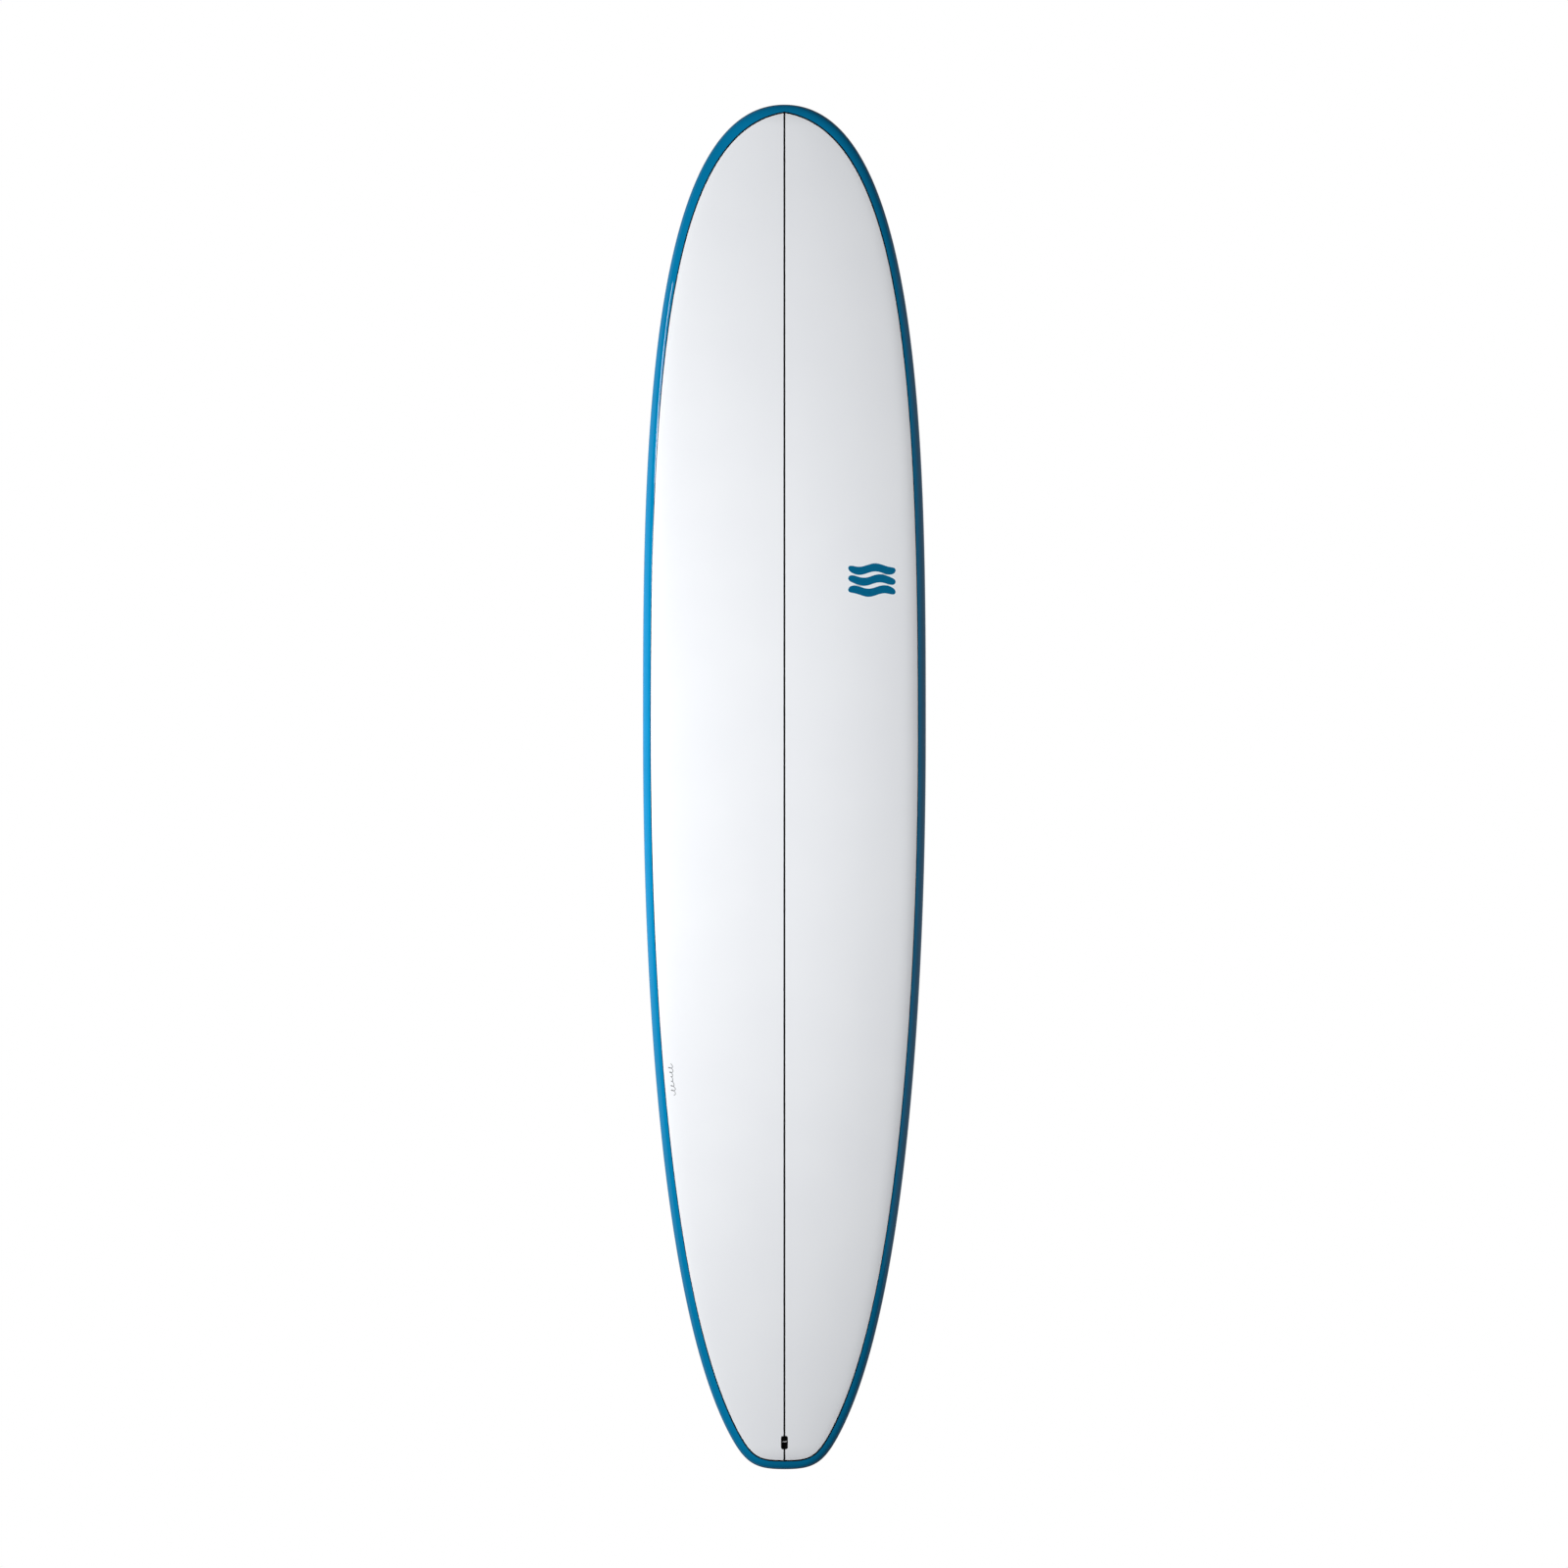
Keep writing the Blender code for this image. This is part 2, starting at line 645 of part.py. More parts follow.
def make_centre_fin(board, pierced):
    frame = add_frame("fin_box_frame", box_frame(), board)
    length = (box_frame().inverted() @ skin_point(0.0, BOX_STATIONS[1], -1)).y * 2.0
    box = add_object(
        "fin_box",
        centred_block(BOX_WIDTH, length, (-BOX_DEPTH, 0.0), corner=BOX_WIDTH / 2.0 - CORNER_TRIM),
        "black_plastic",
        frame,
    )
    slot_length = length - 2 * BOX_END_WALL
    channel_span = (-CHANNEL_TOP - CHANNEL_HEIGHT, -CHANNEL_TOP)
    channel_middle = sum(channel_span) / 2.0
    entry_span = (-CHANNEL_TOP - CHANNEL_HEIGHT, CUT_ABOVE)
    cuts = {
        "cut_box_slot": centred_block(SLOT_WIDTH, slot_length, (-SLOT_DEPTH, CUT_ABOVE)),
        "cut_box_channel": centred_block(
            CHANNEL_WIDTH, slot_length - CHANNEL_INSET, channel_span
        ),
        "cut_box_entry": centred_block(CHANNEL_WIDTH, ENTRY_LENGTH, entry_span, ENTRY_POSITION),
    }
    for name, shape in cuts.items():
        cut(box, add_object(name, shape, parent=frame))
    room_span = (-BOX_DEPTH - GAP, POCKET_ABOVE)
    room_corner = BOX_WIDTH / 2.0 + GAP - CORNER_TRIM
    room = centred_block(
        BOX_WIDTH + 2 * GAP, length + 2 * GAP, room_span, corner=room_corner
    )
    pocket = add_object("cut_box_pocket", room, parent=frame)
    for piece in pierced:
        cut(piece, pocket)

    slide = add_frame("centre_fin_slide", Matrix.Identity(4), frame)
    tab_length = FIN_TAB_FRONT - FIN_TAB_REAR
    ear_length = FIN_EAR_FRONT - FIN_TAB_FRONT + EAR_OVERLAP
    blade = fin_blade(FIN_LEADING, FIN_TRAILING, FIN_THICKNESS, FIN_BASE)
    fin = add_object("centre_fin", blade, "fin_composite", slide)
    tab_size = (FIN_TAB_WIDTH, tab_length, FIN_TAB_DEPTH + TAB_OVERLAP)
    tab = block(tab_size, (-FIN_TAB_WIDTH / 2.0, FIN_TAB_REAR, -FIN_TAB_DEPTH))
    ear_low = (-FIN_TAB_WIDTH / 2.0, FIN_TAB_FRONT - EAR_OVERLAP, -FIN_EAR_SPAN[1])
    ear = block((FIN_TAB_WIDTH, ear_length, FIN_EAR_SPAN[1] - FIN_EAR_SPAN[0]), ear_low)
    combine(fin, add_object("join_fin_tab", tab, parent=slide), "UNION")
    combine(fin, add_object("join_fin_ear", ear, parent=slide), "UNION")

    screw_place = Matrix.Translation((0.0, SCREW_POSITION, 0.0))
    screw_hole = cylinder(SCREW_RADIUS + GAP, (-SLOT_DEPTH, 0.0), screw_place)
    cut(fin, add_object("cut_screw_hole", screw_hole, parent=slide))
    pin_place = across_at(PIN_POSITION, channel_middle)
    pin_hole = cylinder(PIN_RADIUS + GAP, (-SLOT_WIDTH, SLOT_WIDTH), pin_place, PIN_SIDES)
    cut(fin, add_object("cut_pin_hole", pin_hole, parent=slide))
    pin = cylinder(PIN_RADIUS, (-PIN_LENGTH / 2.0, PIN_LENGTH / 2.0), pin_place, PIN_SIDES)
    add_object("fin_roll_pin", pin, "stainless", slide)

    head_low = GAP - FIN_EAR_SPAN[0]
    head_span = (head_low, head_low + SCREW_HEAD_HEIGHT)
    head = cylinder(SCREW_HEAD_RADIUS, head_span, screw_place, HEAD_SIDES)
    screw = add_object("fin_screw", head, "stainless", slide)
    shank = cylinder(SCREW_RADIUS, (-SCREW_END, head_low + SCREW_HEAD_HEIGHT / 2.0), screw_place)
    combine(screw, add_object("join_screw_shank", shank, parent=slide), "UNION")
    drive_span = (head_low + SCREW_HEAD_HEIGHT - DRIVE_SIZE, POCKET_ABOVE)
    drive = centred_block(DRIVE_SIZE, POCKET_ABOVE, drive_span, SCREW_POSITION)
    cut(screw, add_object("cut_screw_drive", drive, parent=slide))

    nut_low = channel_middle - NUT_SIZE[2] / 2.0
    nut_span = (nut_low, nut_low + NUT_SIZE[2])
    nut_shape = centred_block(NUT_SIZE[0], NUT_SIZE[1], nut_span, SCREW_POSITION)
    nut = add_object("fin_plate_nut", nut_shape, "brass", slide)
    nut_hole = cylinder(SCREW_RADIUS + GAP, (-SLOT_DEPTH, 0.0), screw_place)
    cut(nut, add_object("cut_nut_hole", nut_hole, parent=slide))


def make_side_fin(board, hand, right, pierced):
    """One side fin with its two plugs and grub screws; right is 1 or -1."""
    toe = Matrix.Rotation(right * SIDE_TOE_IN, 4, "Z")
    # The outward axis points down, so this turn swings the fin's front towards the stringer.
    place = skin_frame(right * SIDE_OFFSET, SIDE_STATION, -1) @ toe.inverted()
    frame = add_frame(f"side_fin_{hand}_frame", place, board)
    blade = fin_blade(SIDE_LEADING, SIDE_TRAILING, SIDE_THICKNESS, SIDE_BASE)
    fin = add_object(f"side_fin_{hand}", blade, "fin_composite", frame)
    for end, forward in (("front", 1.0), ("rear", -1.0)):
        y = forward * PLUG_SPACING / 2.0
        tag = f"{hand}_{end}"
        tab = centred_block(TAB_SIZE[0], TAB_SIZE[1], (-TAB_SIZE[2], SIDE_TAB_OVERLAP), y)
        combine(fin, add_object(f"join_tab_{tag}", tab, parent=frame), "UNION")
        centre = Matrix.Translation((0.0, y, 0.0))
        plug_shape = cylinder(PLUG_RADIUS, (-PLUG_DEPTH, 0.0), centre, PLUG_SIDES)
        plug = add_object(f"side_plug_{tag}", plug_shape, "black_plastic", frame)
        slot_size = (TAB_SIZE[0] + 2 * GAP, TAB_SIZE[1] + 2 * GAP)
        slot = centred_block(*slot_size, (-PLUG_SLOT_DEPTH, CUT_ABOVE), y)
        lean = Matrix.Translation((GRUB_ENTRY, y, 0.0)) @ Matrix.Rotation(GRUB_LEAN, 4, "Y")
        grub_span = (-GRUB_SINK - GRUB_LENGTH, -GRUB_SINK)
        hole_span = (grub_span[0] - GRUB_HOLE_BEYOND, GRUB_HOLE_ABOVE)
        grub_hole = cylinder(GRUB_RADIUS + GAP, hole_span, lean, GRUB_SIDES)
        cut(plug, add_object(f"cut_slot_{tag}", slot, parent=frame))
        cut(plug, add_object(f"cut_grub_{tag}", grub_hole, parent=frame))
        grub = cylinder(GRUB_RADIUS, grub_span, lean, GRUB_SIDES)
        add_object(f"side_grub_{tag}", grub, "stainless", frame)
        room_span = (-PLUG_DEPTH - GAP, POCKET_ABOVE)
        room = cylinder(PLUG_RADIUS + GAP, room_span, centre, PLUG_SIDES)
        pocket = add_object(f"cut_plug_pocket_{tag}", room, parent=frame)
        for piece in pierced:
            cut(piece, pocket)


def main():
    clear_scene()
    board = add_frame("board", Matrix.Identity(4), None)
    left_core, right_core, stringer = make_core(board)
    deck = make_face_laminate("deck_laminate", 1, board)
    bottom = make_face_laminate("bottom_laminate", -1, board)
    make_rail(board)
    make_pinline("deck_pinline", 1, board)
    make_pinline("bottom_pinline", -1, board)
    make_decal(board)
    make_leash_plug(board, [deck, left_core, right_core, stringer])
    make_centre_fin(board, [bottom, left_core, right_core, stringer])
    make_side_fin(board, "left", -1.0, [bottom, left_core])
    make_side_fin(board, "right", 1.0, [bottom, right_core])

    # Stand the board on the centre fin's lowest point.
    bpy.context.view_layer.update()
    fin = bpy.data.objects["centre_fin"]
    board.location.z = -min((fin.matrix_world @ vert.co).z for vert in fin.data.vertices)
    bpy.context.view_layer.update()


main()
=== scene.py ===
# %% [markdown]
# A longboard stands on its centre fin with the deck up. The imported model is the fixed frame: it says
# where every part is, in metres, and nothing here moves it.

# %% Load the frame
import math

import bmesh
import bpy
import numpy as np
from mathutils import Matrix, Vector
from mathutils.geometry import interpolate_bezier


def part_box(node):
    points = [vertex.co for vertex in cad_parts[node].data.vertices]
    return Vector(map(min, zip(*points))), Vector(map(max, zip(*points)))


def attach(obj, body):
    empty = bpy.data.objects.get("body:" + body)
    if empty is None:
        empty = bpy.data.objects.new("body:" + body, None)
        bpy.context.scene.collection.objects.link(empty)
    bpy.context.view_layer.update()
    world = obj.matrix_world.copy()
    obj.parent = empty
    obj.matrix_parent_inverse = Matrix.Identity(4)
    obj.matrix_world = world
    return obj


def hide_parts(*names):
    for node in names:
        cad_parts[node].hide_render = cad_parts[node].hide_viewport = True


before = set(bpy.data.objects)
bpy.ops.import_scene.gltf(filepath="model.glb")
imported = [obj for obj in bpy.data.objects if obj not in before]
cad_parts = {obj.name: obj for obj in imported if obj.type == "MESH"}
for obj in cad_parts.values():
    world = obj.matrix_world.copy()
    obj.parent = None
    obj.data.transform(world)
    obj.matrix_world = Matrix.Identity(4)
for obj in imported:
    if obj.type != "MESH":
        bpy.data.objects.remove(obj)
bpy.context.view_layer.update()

BOARD = "board"
FIN_UNIT = "centre_fin_unit"
MM = 0.001

# %% [markdown]
# The board is shaped by rules, as a shaper works from templates: an outline, a foil for the
# thickness along the stringer, a rocker for the bottom line, and a crown across. The same rules
# made the solids of the frame, so every visible skin lies exactly on them, only with far more
# steps, so that the gloss runs without facets. A station is a distance from the tail along the
# stringer, in metres, and a lean is an angle in radians.

# %% Templates of the board
LENGTH = 2.743
THICKNESS = 0.076
NOSE_THICKNESS = 0.026
TAIL_THICKNESS = 0.028
THICKEST_STATION = 0.52 * LENGTH
FOIL_POWER = 2.3
DECK_SHARE = 0.7
NOSE_ROCKER = 0.115
TAIL_ROCKER = 0.085
LOW_STATION = 0.46 * LENGTH
NOSE_ROCKER_POWER = 3.0
TAIL_ROCKER_POWER = 2.4
DECK_CROWN_POWER = 2.4
ROLL_SHARE = 0.6
ROLL_POWER = 3.0
RAIL_ROLL = 0.0606
BOTTOM_CROWN_POWER = 5.0
END_ROUNDING = 0.045
TAIL_FAN = 0.30
NOSE_FAN = 0.40
ROW_SLANT = 0.5
BOARD_PLAN = {
    "tail": (0.0, 0.0), "tail_handle": 0.0565,
    "corner": (0.1094, 0.0683), "corner_lean": 0.4931, "corner_handles": (0.0669, 0.2839),
    "wide": (0.2849, 1.4773), "wide_handles": (0.5308, 0.4998),
    "nose": (0.0, LENGTH), "nose_handle": (0.2883, 0.0),
}
DECK_PLAN = {
    "tail": (0.0, 0.0188), "tail_handle": 0.0468,
    "corner": (0.0905, 0.0725), "corner_lean": 0.5001, "corner_handles": (0.0576, 0.2839),
    "wide": (0.2685, 1.4844), "wide_handles": (0.5342, 0.6907),
    "nose": (0.0, LENGTH - 0.0175), "nose_handle": (0.2388, 0.0377),
}
FINE_STEPS = 4000
TINY = 1e-9
ROW_STEPS = (34, 84, 112)
NOSE_CROWDING = 1.35
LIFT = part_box("bottom_laminate")[0].z
print("the bottom's lowest point stands", round(LIFT, 4), "m above the floor")


# %% [markdown]
# An outline could be a long list of points, but a shaper draws it with a few bends of one thin
# batten. So each outline is three cubic curves between the tail, the corner of the tail, the
# widest place and the nose, with handles that set how full each bend is.

# %% Outlines from the templates
def steps(count, crowding=1.0):
    return [1.0 - (1.0 - (k + 1) / count) ** crowding for k in range(count)]


def plan_curve(plan, shares):
    """Points (half width, station) from tail to nose along three smooth stretches."""
    lean = Vector((math.sin(plan["corner_lean"]), math.cos(plan["corner_lean"])))
    tail, corner, wide, nose = (Vector(plan[key]) for key in ("tail", "corner", "wide", "nose"))
    back, forward = plan["corner_handles"]
    wide_back, wide_forward = plan["wide_handles"]
    nose_out, nose_down = plan["nose_handle"]
    stretches = [
        (tail, tail + Vector((plan["tail_handle"], 0.0)), corner - back * lean, corner),
        (corner, corner + forward * lean, wide - Vector((0.0, wide_back)), wide),
        (wide, wide + Vector((0.0, wide_forward)), nose + Vector((nose_out, -nose_down)), nose),
    ]
    points = [tail]
    for (a, b, c, d), shares_here in zip(stretches, shares):
        for t in shares_here:
            u = 1.0 - t
            points.append(u**3 * a + 3 * u * u * t * b + 3 * u * t * t * c + t**3 * d)
    return np.array(points)


FINE_OUTLINE = plan_curve(BOARD_PLAN, [steps(FINE_STEPS)] * 3)
DECK_EDGE = plan_curve(
    DECK_PLAN,
    [steps(ROW_STEPS[0]), steps(ROW_STEPS[1]), steps(ROW_STEPS[2], NOSE_CROWDING)],
)
LAST_ROW = len(DECK_EDGE) - 1
RAIL_EDGE = np.array(
    [FINE_OUTLINE[np.argmin(np.linalg.norm(FINE_OUTLINE - point, axis=1))] for point in DECK_EDGE]
)
print("rows from tail to nose:", LAST_ROW + 1)


# %% [markdown]
# Seen from the side, a board is its thickness along the stringer, the foil, set on the curve of
# its bottom, the rocker. Both could be drawn curves as well, but a power of the distance from
# the thickest or the lowest place is as fair a line, and takes one number.

# %% Foil and rocker
def half_width(station):
    return float(np.interp(station, FINE_OUTLINE[:, 1], FINE_OUTLINE[:, 0]))


def foil(station):
    """Full thickness at the stringer, before the ends are rounded off."""
    if station > THICKEST_STATION:
        share = (station - THICKEST_STATION) / (LENGTH - THICKEST_STATION)
        end = NOSE_THICKNESS
    else:
        share = (THICKEST_STATION - station) / THICKEST_STATION
        end = TAIL_THICKNESS
    return THICKNESS - (THICKNESS - end) * share**FOIL_POWER


def rail_height(station):
    if station > LOW_STATION:
        share = (station - LOW_STATION) / (LENGTH - LOW_STATION)
        rocker = NOSE_ROCKER * share**NOSE_ROCKER_POWER
    else:
        rocker = TAIL_ROCKER * ((LOW_STATION - station) / LOW_STATION) ** TAIL_ROCKER_POWER
    return LIFT + rocker + (1.0 - DECK_SHARE) * foil(station)


print("thickness at the middle", round(foil(LENGTH / 2.0), 4), "m")

# %% [markdown]
# Across the board, the deck is a low dome that turns down to the rail, and the bottom is almost
# flat. One power curve can't be both calm in the middle and tight at the rail, so the deck adds
# two: a slow fall over the whole width and a quick roll over the last few centimetres.

# %% Crown
def crown(x, station, side):
    """Share of the height over the rail line that is left at x: 1 at the stringer, 0 at the rail."""
    width = max(half_width(station), TINY)
    share = min(abs(x) / width, 1.0)
    if side < 0:
        return math.sqrt(1.0 - share**BOTTOM_CROWN_POWER)
    roll_width = RAIL_ROLL * width / (RAIL_ROLL + width)
    roll = max(0.0, 1.0 - width * (1.0 - share) / roll_width)
    fall = (1.0 - ROLL_SHARE) * (1.0 - share**DECK_CROWN_POWER)
    return fall + ROLL_SHARE * math.sqrt(1.0 - roll**ROLL_POWER)


print("height left at the edge of the white", round(crown(*DECK_PLAN["wide"], 1), 3))

# %% [markdown]
# Any point of the skin now follows from two numbers: its lane across the board and its row along
# it. The rows fan out towards the tail and the nose, because rows square to the stringer would
# pinch there. Lane 0 is the stringer, 1 the edge of the white, and 2 the rail.

# %% Points of the skin
def skin_point(x, station, side, proud=0.0):
    """A point of the deck (side 1) or of the bottom (side -1), or a little proud of it."""
    depth = foil(station) * (DECK_SHARE if side > 0 else 1.0 - DECK_SHARE)
    inset = min(max(min(station, LENGTH - station) / END_ROUNDING, 0.0), 1.0)
    rounding = math.sqrt(1.0 - (1.0 - inset) ** 2)
    height = rail_height(station) + side * depth * rounding * crown(x, station, side)
    return Vector((x, station - LENGTH / 2.0, height + side * proud))


def hull_point(row, lane, side, right=1.0, proud=0.0):
    """Lane 0 is the stringer, 1 the edge of the white deck, 2 the rail."""
    edge = DECK_EDGE[row]
    if lane > 1.0:
        x, station = edge + (lane - 1.0) * (RAIL_EDGE[row] - edge)
    else:
        tail_lean = max(0.0, 1.0 - edge[1] / TAIL_FAN)
        nose_lean = max(0.0, 1.0 - (LENGTH - edge[1]) / NOSE_FAN)
        start = edge[1] + ROW_SLANT * edge[0] * (tail_lean - nose_lean)
        x, station = edge[0] * lane, start + (edge[1] - start) * lane
    point = skin_point(right * x, station, side, proud)
    if lane >= 2.0:
        point.z = rail_height(station)
    return point


print("the nose stands", round(hull_point(LAST_ROW, 2.0, 1).z, 4), "m up")

# %% [markdown]
# A sheet starts as a flat grid and its corners are moved to where a rule puts them. The grid's
# own operator makes the faces, so the rule only has to know about places. Where corners meet,
# as at the nose, they are welded.

# %% Sheets and objects
WELD_DISTANCE = 1e-6


def lay_sheet(bm, rows, columns, place):
    """Add a grid of rows by columns whose corners lie at place(row, column)."""
    grid = bmesh.ops.create_grid(bm, x_segments=columns, y_segments=rows, size=0.5)
    for vert in grid["verts"]:
        row = round((vert.co.y + 0.5) * rows)
        column = round((vert.co.x + 0.5) * columns)
        vert.co = place(row, column)


def weld(bm):
    bmesh.ops.remove_doubles(bm, verts=bm.verts, dist=WELD_DISTANCE)


def new_object(name, bm):
    mesh = bpy.data.meshes.new(name)
    bm.to_mesh(mesh)
    bm.free()
    obj = bpy.data.objects.new(name, mesh)
    bpy.context.scene.collection.objects.link(obj)
    return obj


# %% [markdown]
# Walls, cuts and rounded edges come from modifiers. They are settled into plain mesh at once, so that
# each tool can be thrown away.

# %% Walls, cuts and edges
CRISP_ANGLE = math.radians(40.0)
EDGE_SEGMENTS = 2


def settle(obj):
    """Turn the live modifiers of obj into plain mesh."""
    bpy.context.view_layer.update()
    graph = bpy.context.evaluated_depsgraph_get()
    obj.data = bpy.data.meshes.new_from_object(obj.evaluated_get(graph))
    obj.modifiers.clear()


def thicken(obj, wall):
    """Give an open sheet a wall that grows inwards from its outer face."""
    modifier = obj.modifiers.new("wall", "SOLIDIFY")
    modifier.thickness = wall
    modifier.offset = -1.0
    settle(obj)


def combine(obj, operation, *tools):
    """Cut tools out of obj, or join them to it, and throw the tools away."""
    for tool in tools:
        modifier = obj.modifiers.new("combine", "BOOLEAN")
        modifier.operation = operation
        modifier.solver = "EXACT"
        modifier.object = tool
    settle(obj)
    for tool in tools:
        bpy.data.objects.remove(tool)


def soften(obj, width):
    """Round the crisp edges a little, as every moulded or machined edge is."""
    modifier = obj.modifiers.new("edges", "BEVEL")
    modifier.width = width
    modifier.segments = EDGE_SEGMENTS
    modifier.limit_method = "ANGLE"
    modifier.angle_limit = CRISP_ANGLE
    modifier.harden_normals = False
    settle(obj)


# %% [markdown]
# A finished piece is smooth except where two faces meet at more than 32 degrees. It is hung on the
# body that carries it, and the plain solids that it covers are hidden.

# %% Finish a piece
SMOOTH_ANGLE = math.radians(32.0)


def finish_piece(obj, body, material, stands_for=()):
    """Shade obj, give it its finish, and hang it on its body."""
    obj.data.shade_smooth()
    obj.data.set_sharp_from_angle(angle=SMOOTH_ANGLE)
    obj.data.materials.clear()
    obj.data.materials.append(material)
    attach(obj, body)
    if stands_for:
        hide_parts(*stands_for)
    print(obj.name, len(obj.data.polygons), "faces on", body)
    return obj


# %% [markdown]
# Every finish is built from nodes. One function turns a printed colour into the linear values
# that light works with, and one adds a node with its settings and links.

# %% Helpers for finishes
def colour(code):
    """Linear RGBA from an sRGB hex colour such as #FFFFFF."""
    parts = [int(code[k : k + 2], 16) / 255.0 for k in (1, 3, 5)]
    return (*[p / 12.92 if p <= 0.04045 else ((p + 0.055) / 1.055) ** 2.4 for p in parts], 1.0)


def add_node(tree, kind, inputs=None, **settings):
    """Add a node; inputs gives each socket a value, or the socket that feeds it."""
    node = tree.nodes.new("ShaderNode" + kind)
    for name, value in settings.items():
        setattr(node, name, value)
    for name, value in (inputs or {}).items():
        if isinstance(value, bpy.types.NodeSocket):
            tree.links.new(value, node.inputs[name])
        else:
            node.inputs[name].default_value = value
    return node


def start_finish(name, **inputs):
    """A material with a shader, and its tree with the object's own coordinates."""
    material = bpy.data.materials.new(name)
    material.use_nodes = True
    tree = material.node_tree
    shader = tree.nodes["Principled BSDF"]
    for key, value in inputs.items():
        shader.inputs[key.replace("_", " ")].default_value = value
    place = add_node(tree, "TexCoord").outputs["Object"]
    return material, tree, shader, place


def shade_between(tree, factor, low, high):
    """A colour that runs from low to high as factor goes from 0 to 1."""
    mix = add_node(tree, "Mix", {0: factor, 6: colour(low), 7: colour(high)}, data_type="RGBA")
    return mix.outputs[2]


def feed(tree, shader, **sockets):
    for key, value in sockets.items():
        tree.links.new(value, shader.inputs[key.replace("_", " ")])


def per_metre(size_mm):
    """Texture scale at which one feature is size_mm wide."""
    return 1.0 / (size_mm * MM)


print("middle grey is", [round(value, 3) for value in colour("#808080")[:3]])

# %% [markdown]
# The deck and bottom are white foam under clear glass cloth and a polished epoxy coat. The eye
# gets a clean white with a wet shine, a very faint cloudiness where the resin lies thicker, and
# a surface that is a hair less than flat where the cloth prints through. The cloth's real thread
# spacing is 1.4 mm, and it is drawn at 4 mm because the real one would vanish.

# %% Polished white laminate
WAVE_TEXTURE_PERIOD = math.tau / 20.0
WEAVE_MM = 4.0
PRINT_THROUGH = 0.004 * MM
PEEL_MM = 45.0
PEEL_HEIGHT = 0.03 * MM


def wave_scale(pitch_mm):
    """Scale of a wave texture whose bands are pitch_mm apart."""
    return WAVE_TEXTURE_PERIOD / (pitch_mm * MM)


def polished_bumps(tree, place):
    """Normals of a polished coat: cloth that prints through, and the slow waves of sanding."""
    across = {"Vector": place, "Scale": wave_scale(WEAVE_MM), "Distortion": 0.0}
    warp = add_node(tree, "TexWave", across, bands_direction="X").outputs["Fac"]
    weft = add_node(tree, "TexWave", across, bands_direction="Y").outputs["Fac"]
    cloth = add_node(tree, "Math", {0: warp, 1: weft}, operation="MULTIPLY").outputs[0]
    bump = add_node(tree, "Bump", {"Height": cloth, "Distance": PRINT_THROUGH, "Strength": 1.0})
    peel = add_node(tree, "TexNoise", {"Vector": place, "Scale": per_metre(PEEL_MM), "Detail": 1.0})
    return add_node(
        tree, "Bump",
        {"Height": peel.outputs["Fac"], "Distance": PEEL_HEIGHT, "Strength": 1.0,
         "Normal": bump.outputs["Normal"]},
    ).outputs["Normal"]


WHITE, tree, shader, place = start_finish(
    "polished_white_epoxy_laminate",
    Roughness=0.22, IOR=1.5, Coat_Weight=1.0, Coat_Roughness=0.04, Coat_IOR=1.5,
)
clouds = add_node(tree, "TexNoise", {"Vector": place, "Scale": per_metre(160), "Detail": 2.0})
normal = polished_bumps(tree, place)
feed(tree, shader, Base_Color=shade_between(tree, clouds.outputs["Fac"], "#ECEEF2", "#F1F3F6"),
     Normal=normal, Coat_Normal=normal)
print("made", WHITE.name)

# %% [markdown]
# The rail band is the same laminate with blue pigment stirred into the resin. Pigment is never
# quite even: it settles a little, so the blue has slow, soft clouds a hand's width across. The
# colour lies inside the resin, so all of its shine comes from the clear coat on top.

# %% Pigmented blue laminate
BLUE, tree, shader, place = start_finish(
    "polished_blue_pigment_laminate", Specular_IOR_Level=0.0,
    Roughness=0.5, Coat_Weight=1.0, Coat_Roughness=0.03, Coat_IOR=1.5,
)
clouds = add_node(tree, "TexNoise", {"Vector": place, "Scale": per_metre(90), "Detail": 2.0})
normal = polished_bumps(tree, place)
feed(tree, shader, Base_Color=shade_between(tree, clouds.outputs["Fac"], "#00709D", "#0078A8"),
     Normal=normal, Coat_Normal=normal)
print("made", BLUE.name)

# %% [markdown]
# The pinline is black resin run along a tape edge and polished with the rest. It is a narrow
# line, so all the eye gets is a crisp black with the same wet shine.

# %% Black pinline resin
PINLINE, tree, shader, place = start_finish(
    "black_pinline_resin", IOR=1.5, Coat_Weight=0.6, Coat_Roughness=0.05,
)
streaks = add_node(tree, "TexNoise", {"Vector": place, "Scale": per_metre(12), "Detail": 3.0})
feed(tree, shader, Base_Color=shade_between(tree, streaks.outputs["Fac"], "#0A0C0F", "#16191D"))
gloss = add_node(tree, "MapRange", {"Value": streaks.outputs["Fac"], "To Min": 0.18, "To Max": 0.3})
feed(tree, shader, Roughness=gloss.outputs["Result"])
print("made", PINLINE.name)

# %% [markdown]
# The stringer is a strip of dark-stained plywood glued between the two halves of the foam. Seen
# through clear laminate it is a thin dark line with a grain that runs along the board. Inside
# the board the same strip is bare, brown and matt. The grain is noise that is stretched along
# the board, about 0.8 mm across and 30 mm long.

# %% Stained plywood, bare and under glass
GRAIN_MM = 0.8
GRAIN_RUN_MM = 30.0


def along_grain(tree, place):
    """Noise drawn out along the board, as wood grain is."""
    scale = (per_metre(GRAIN_MM), per_metre(GRAIN_RUN_MM), per_metre(GRAIN_MM))
    stretch = add_node(tree, "Mapping", {"Vector": place, "Scale": scale}).outputs["Vector"]
    grain = add_node(tree, "TexNoise", {"Vector": stretch, "Scale": 1.0, "Detail": 4.0})
    return grain.outputs["Fac"]


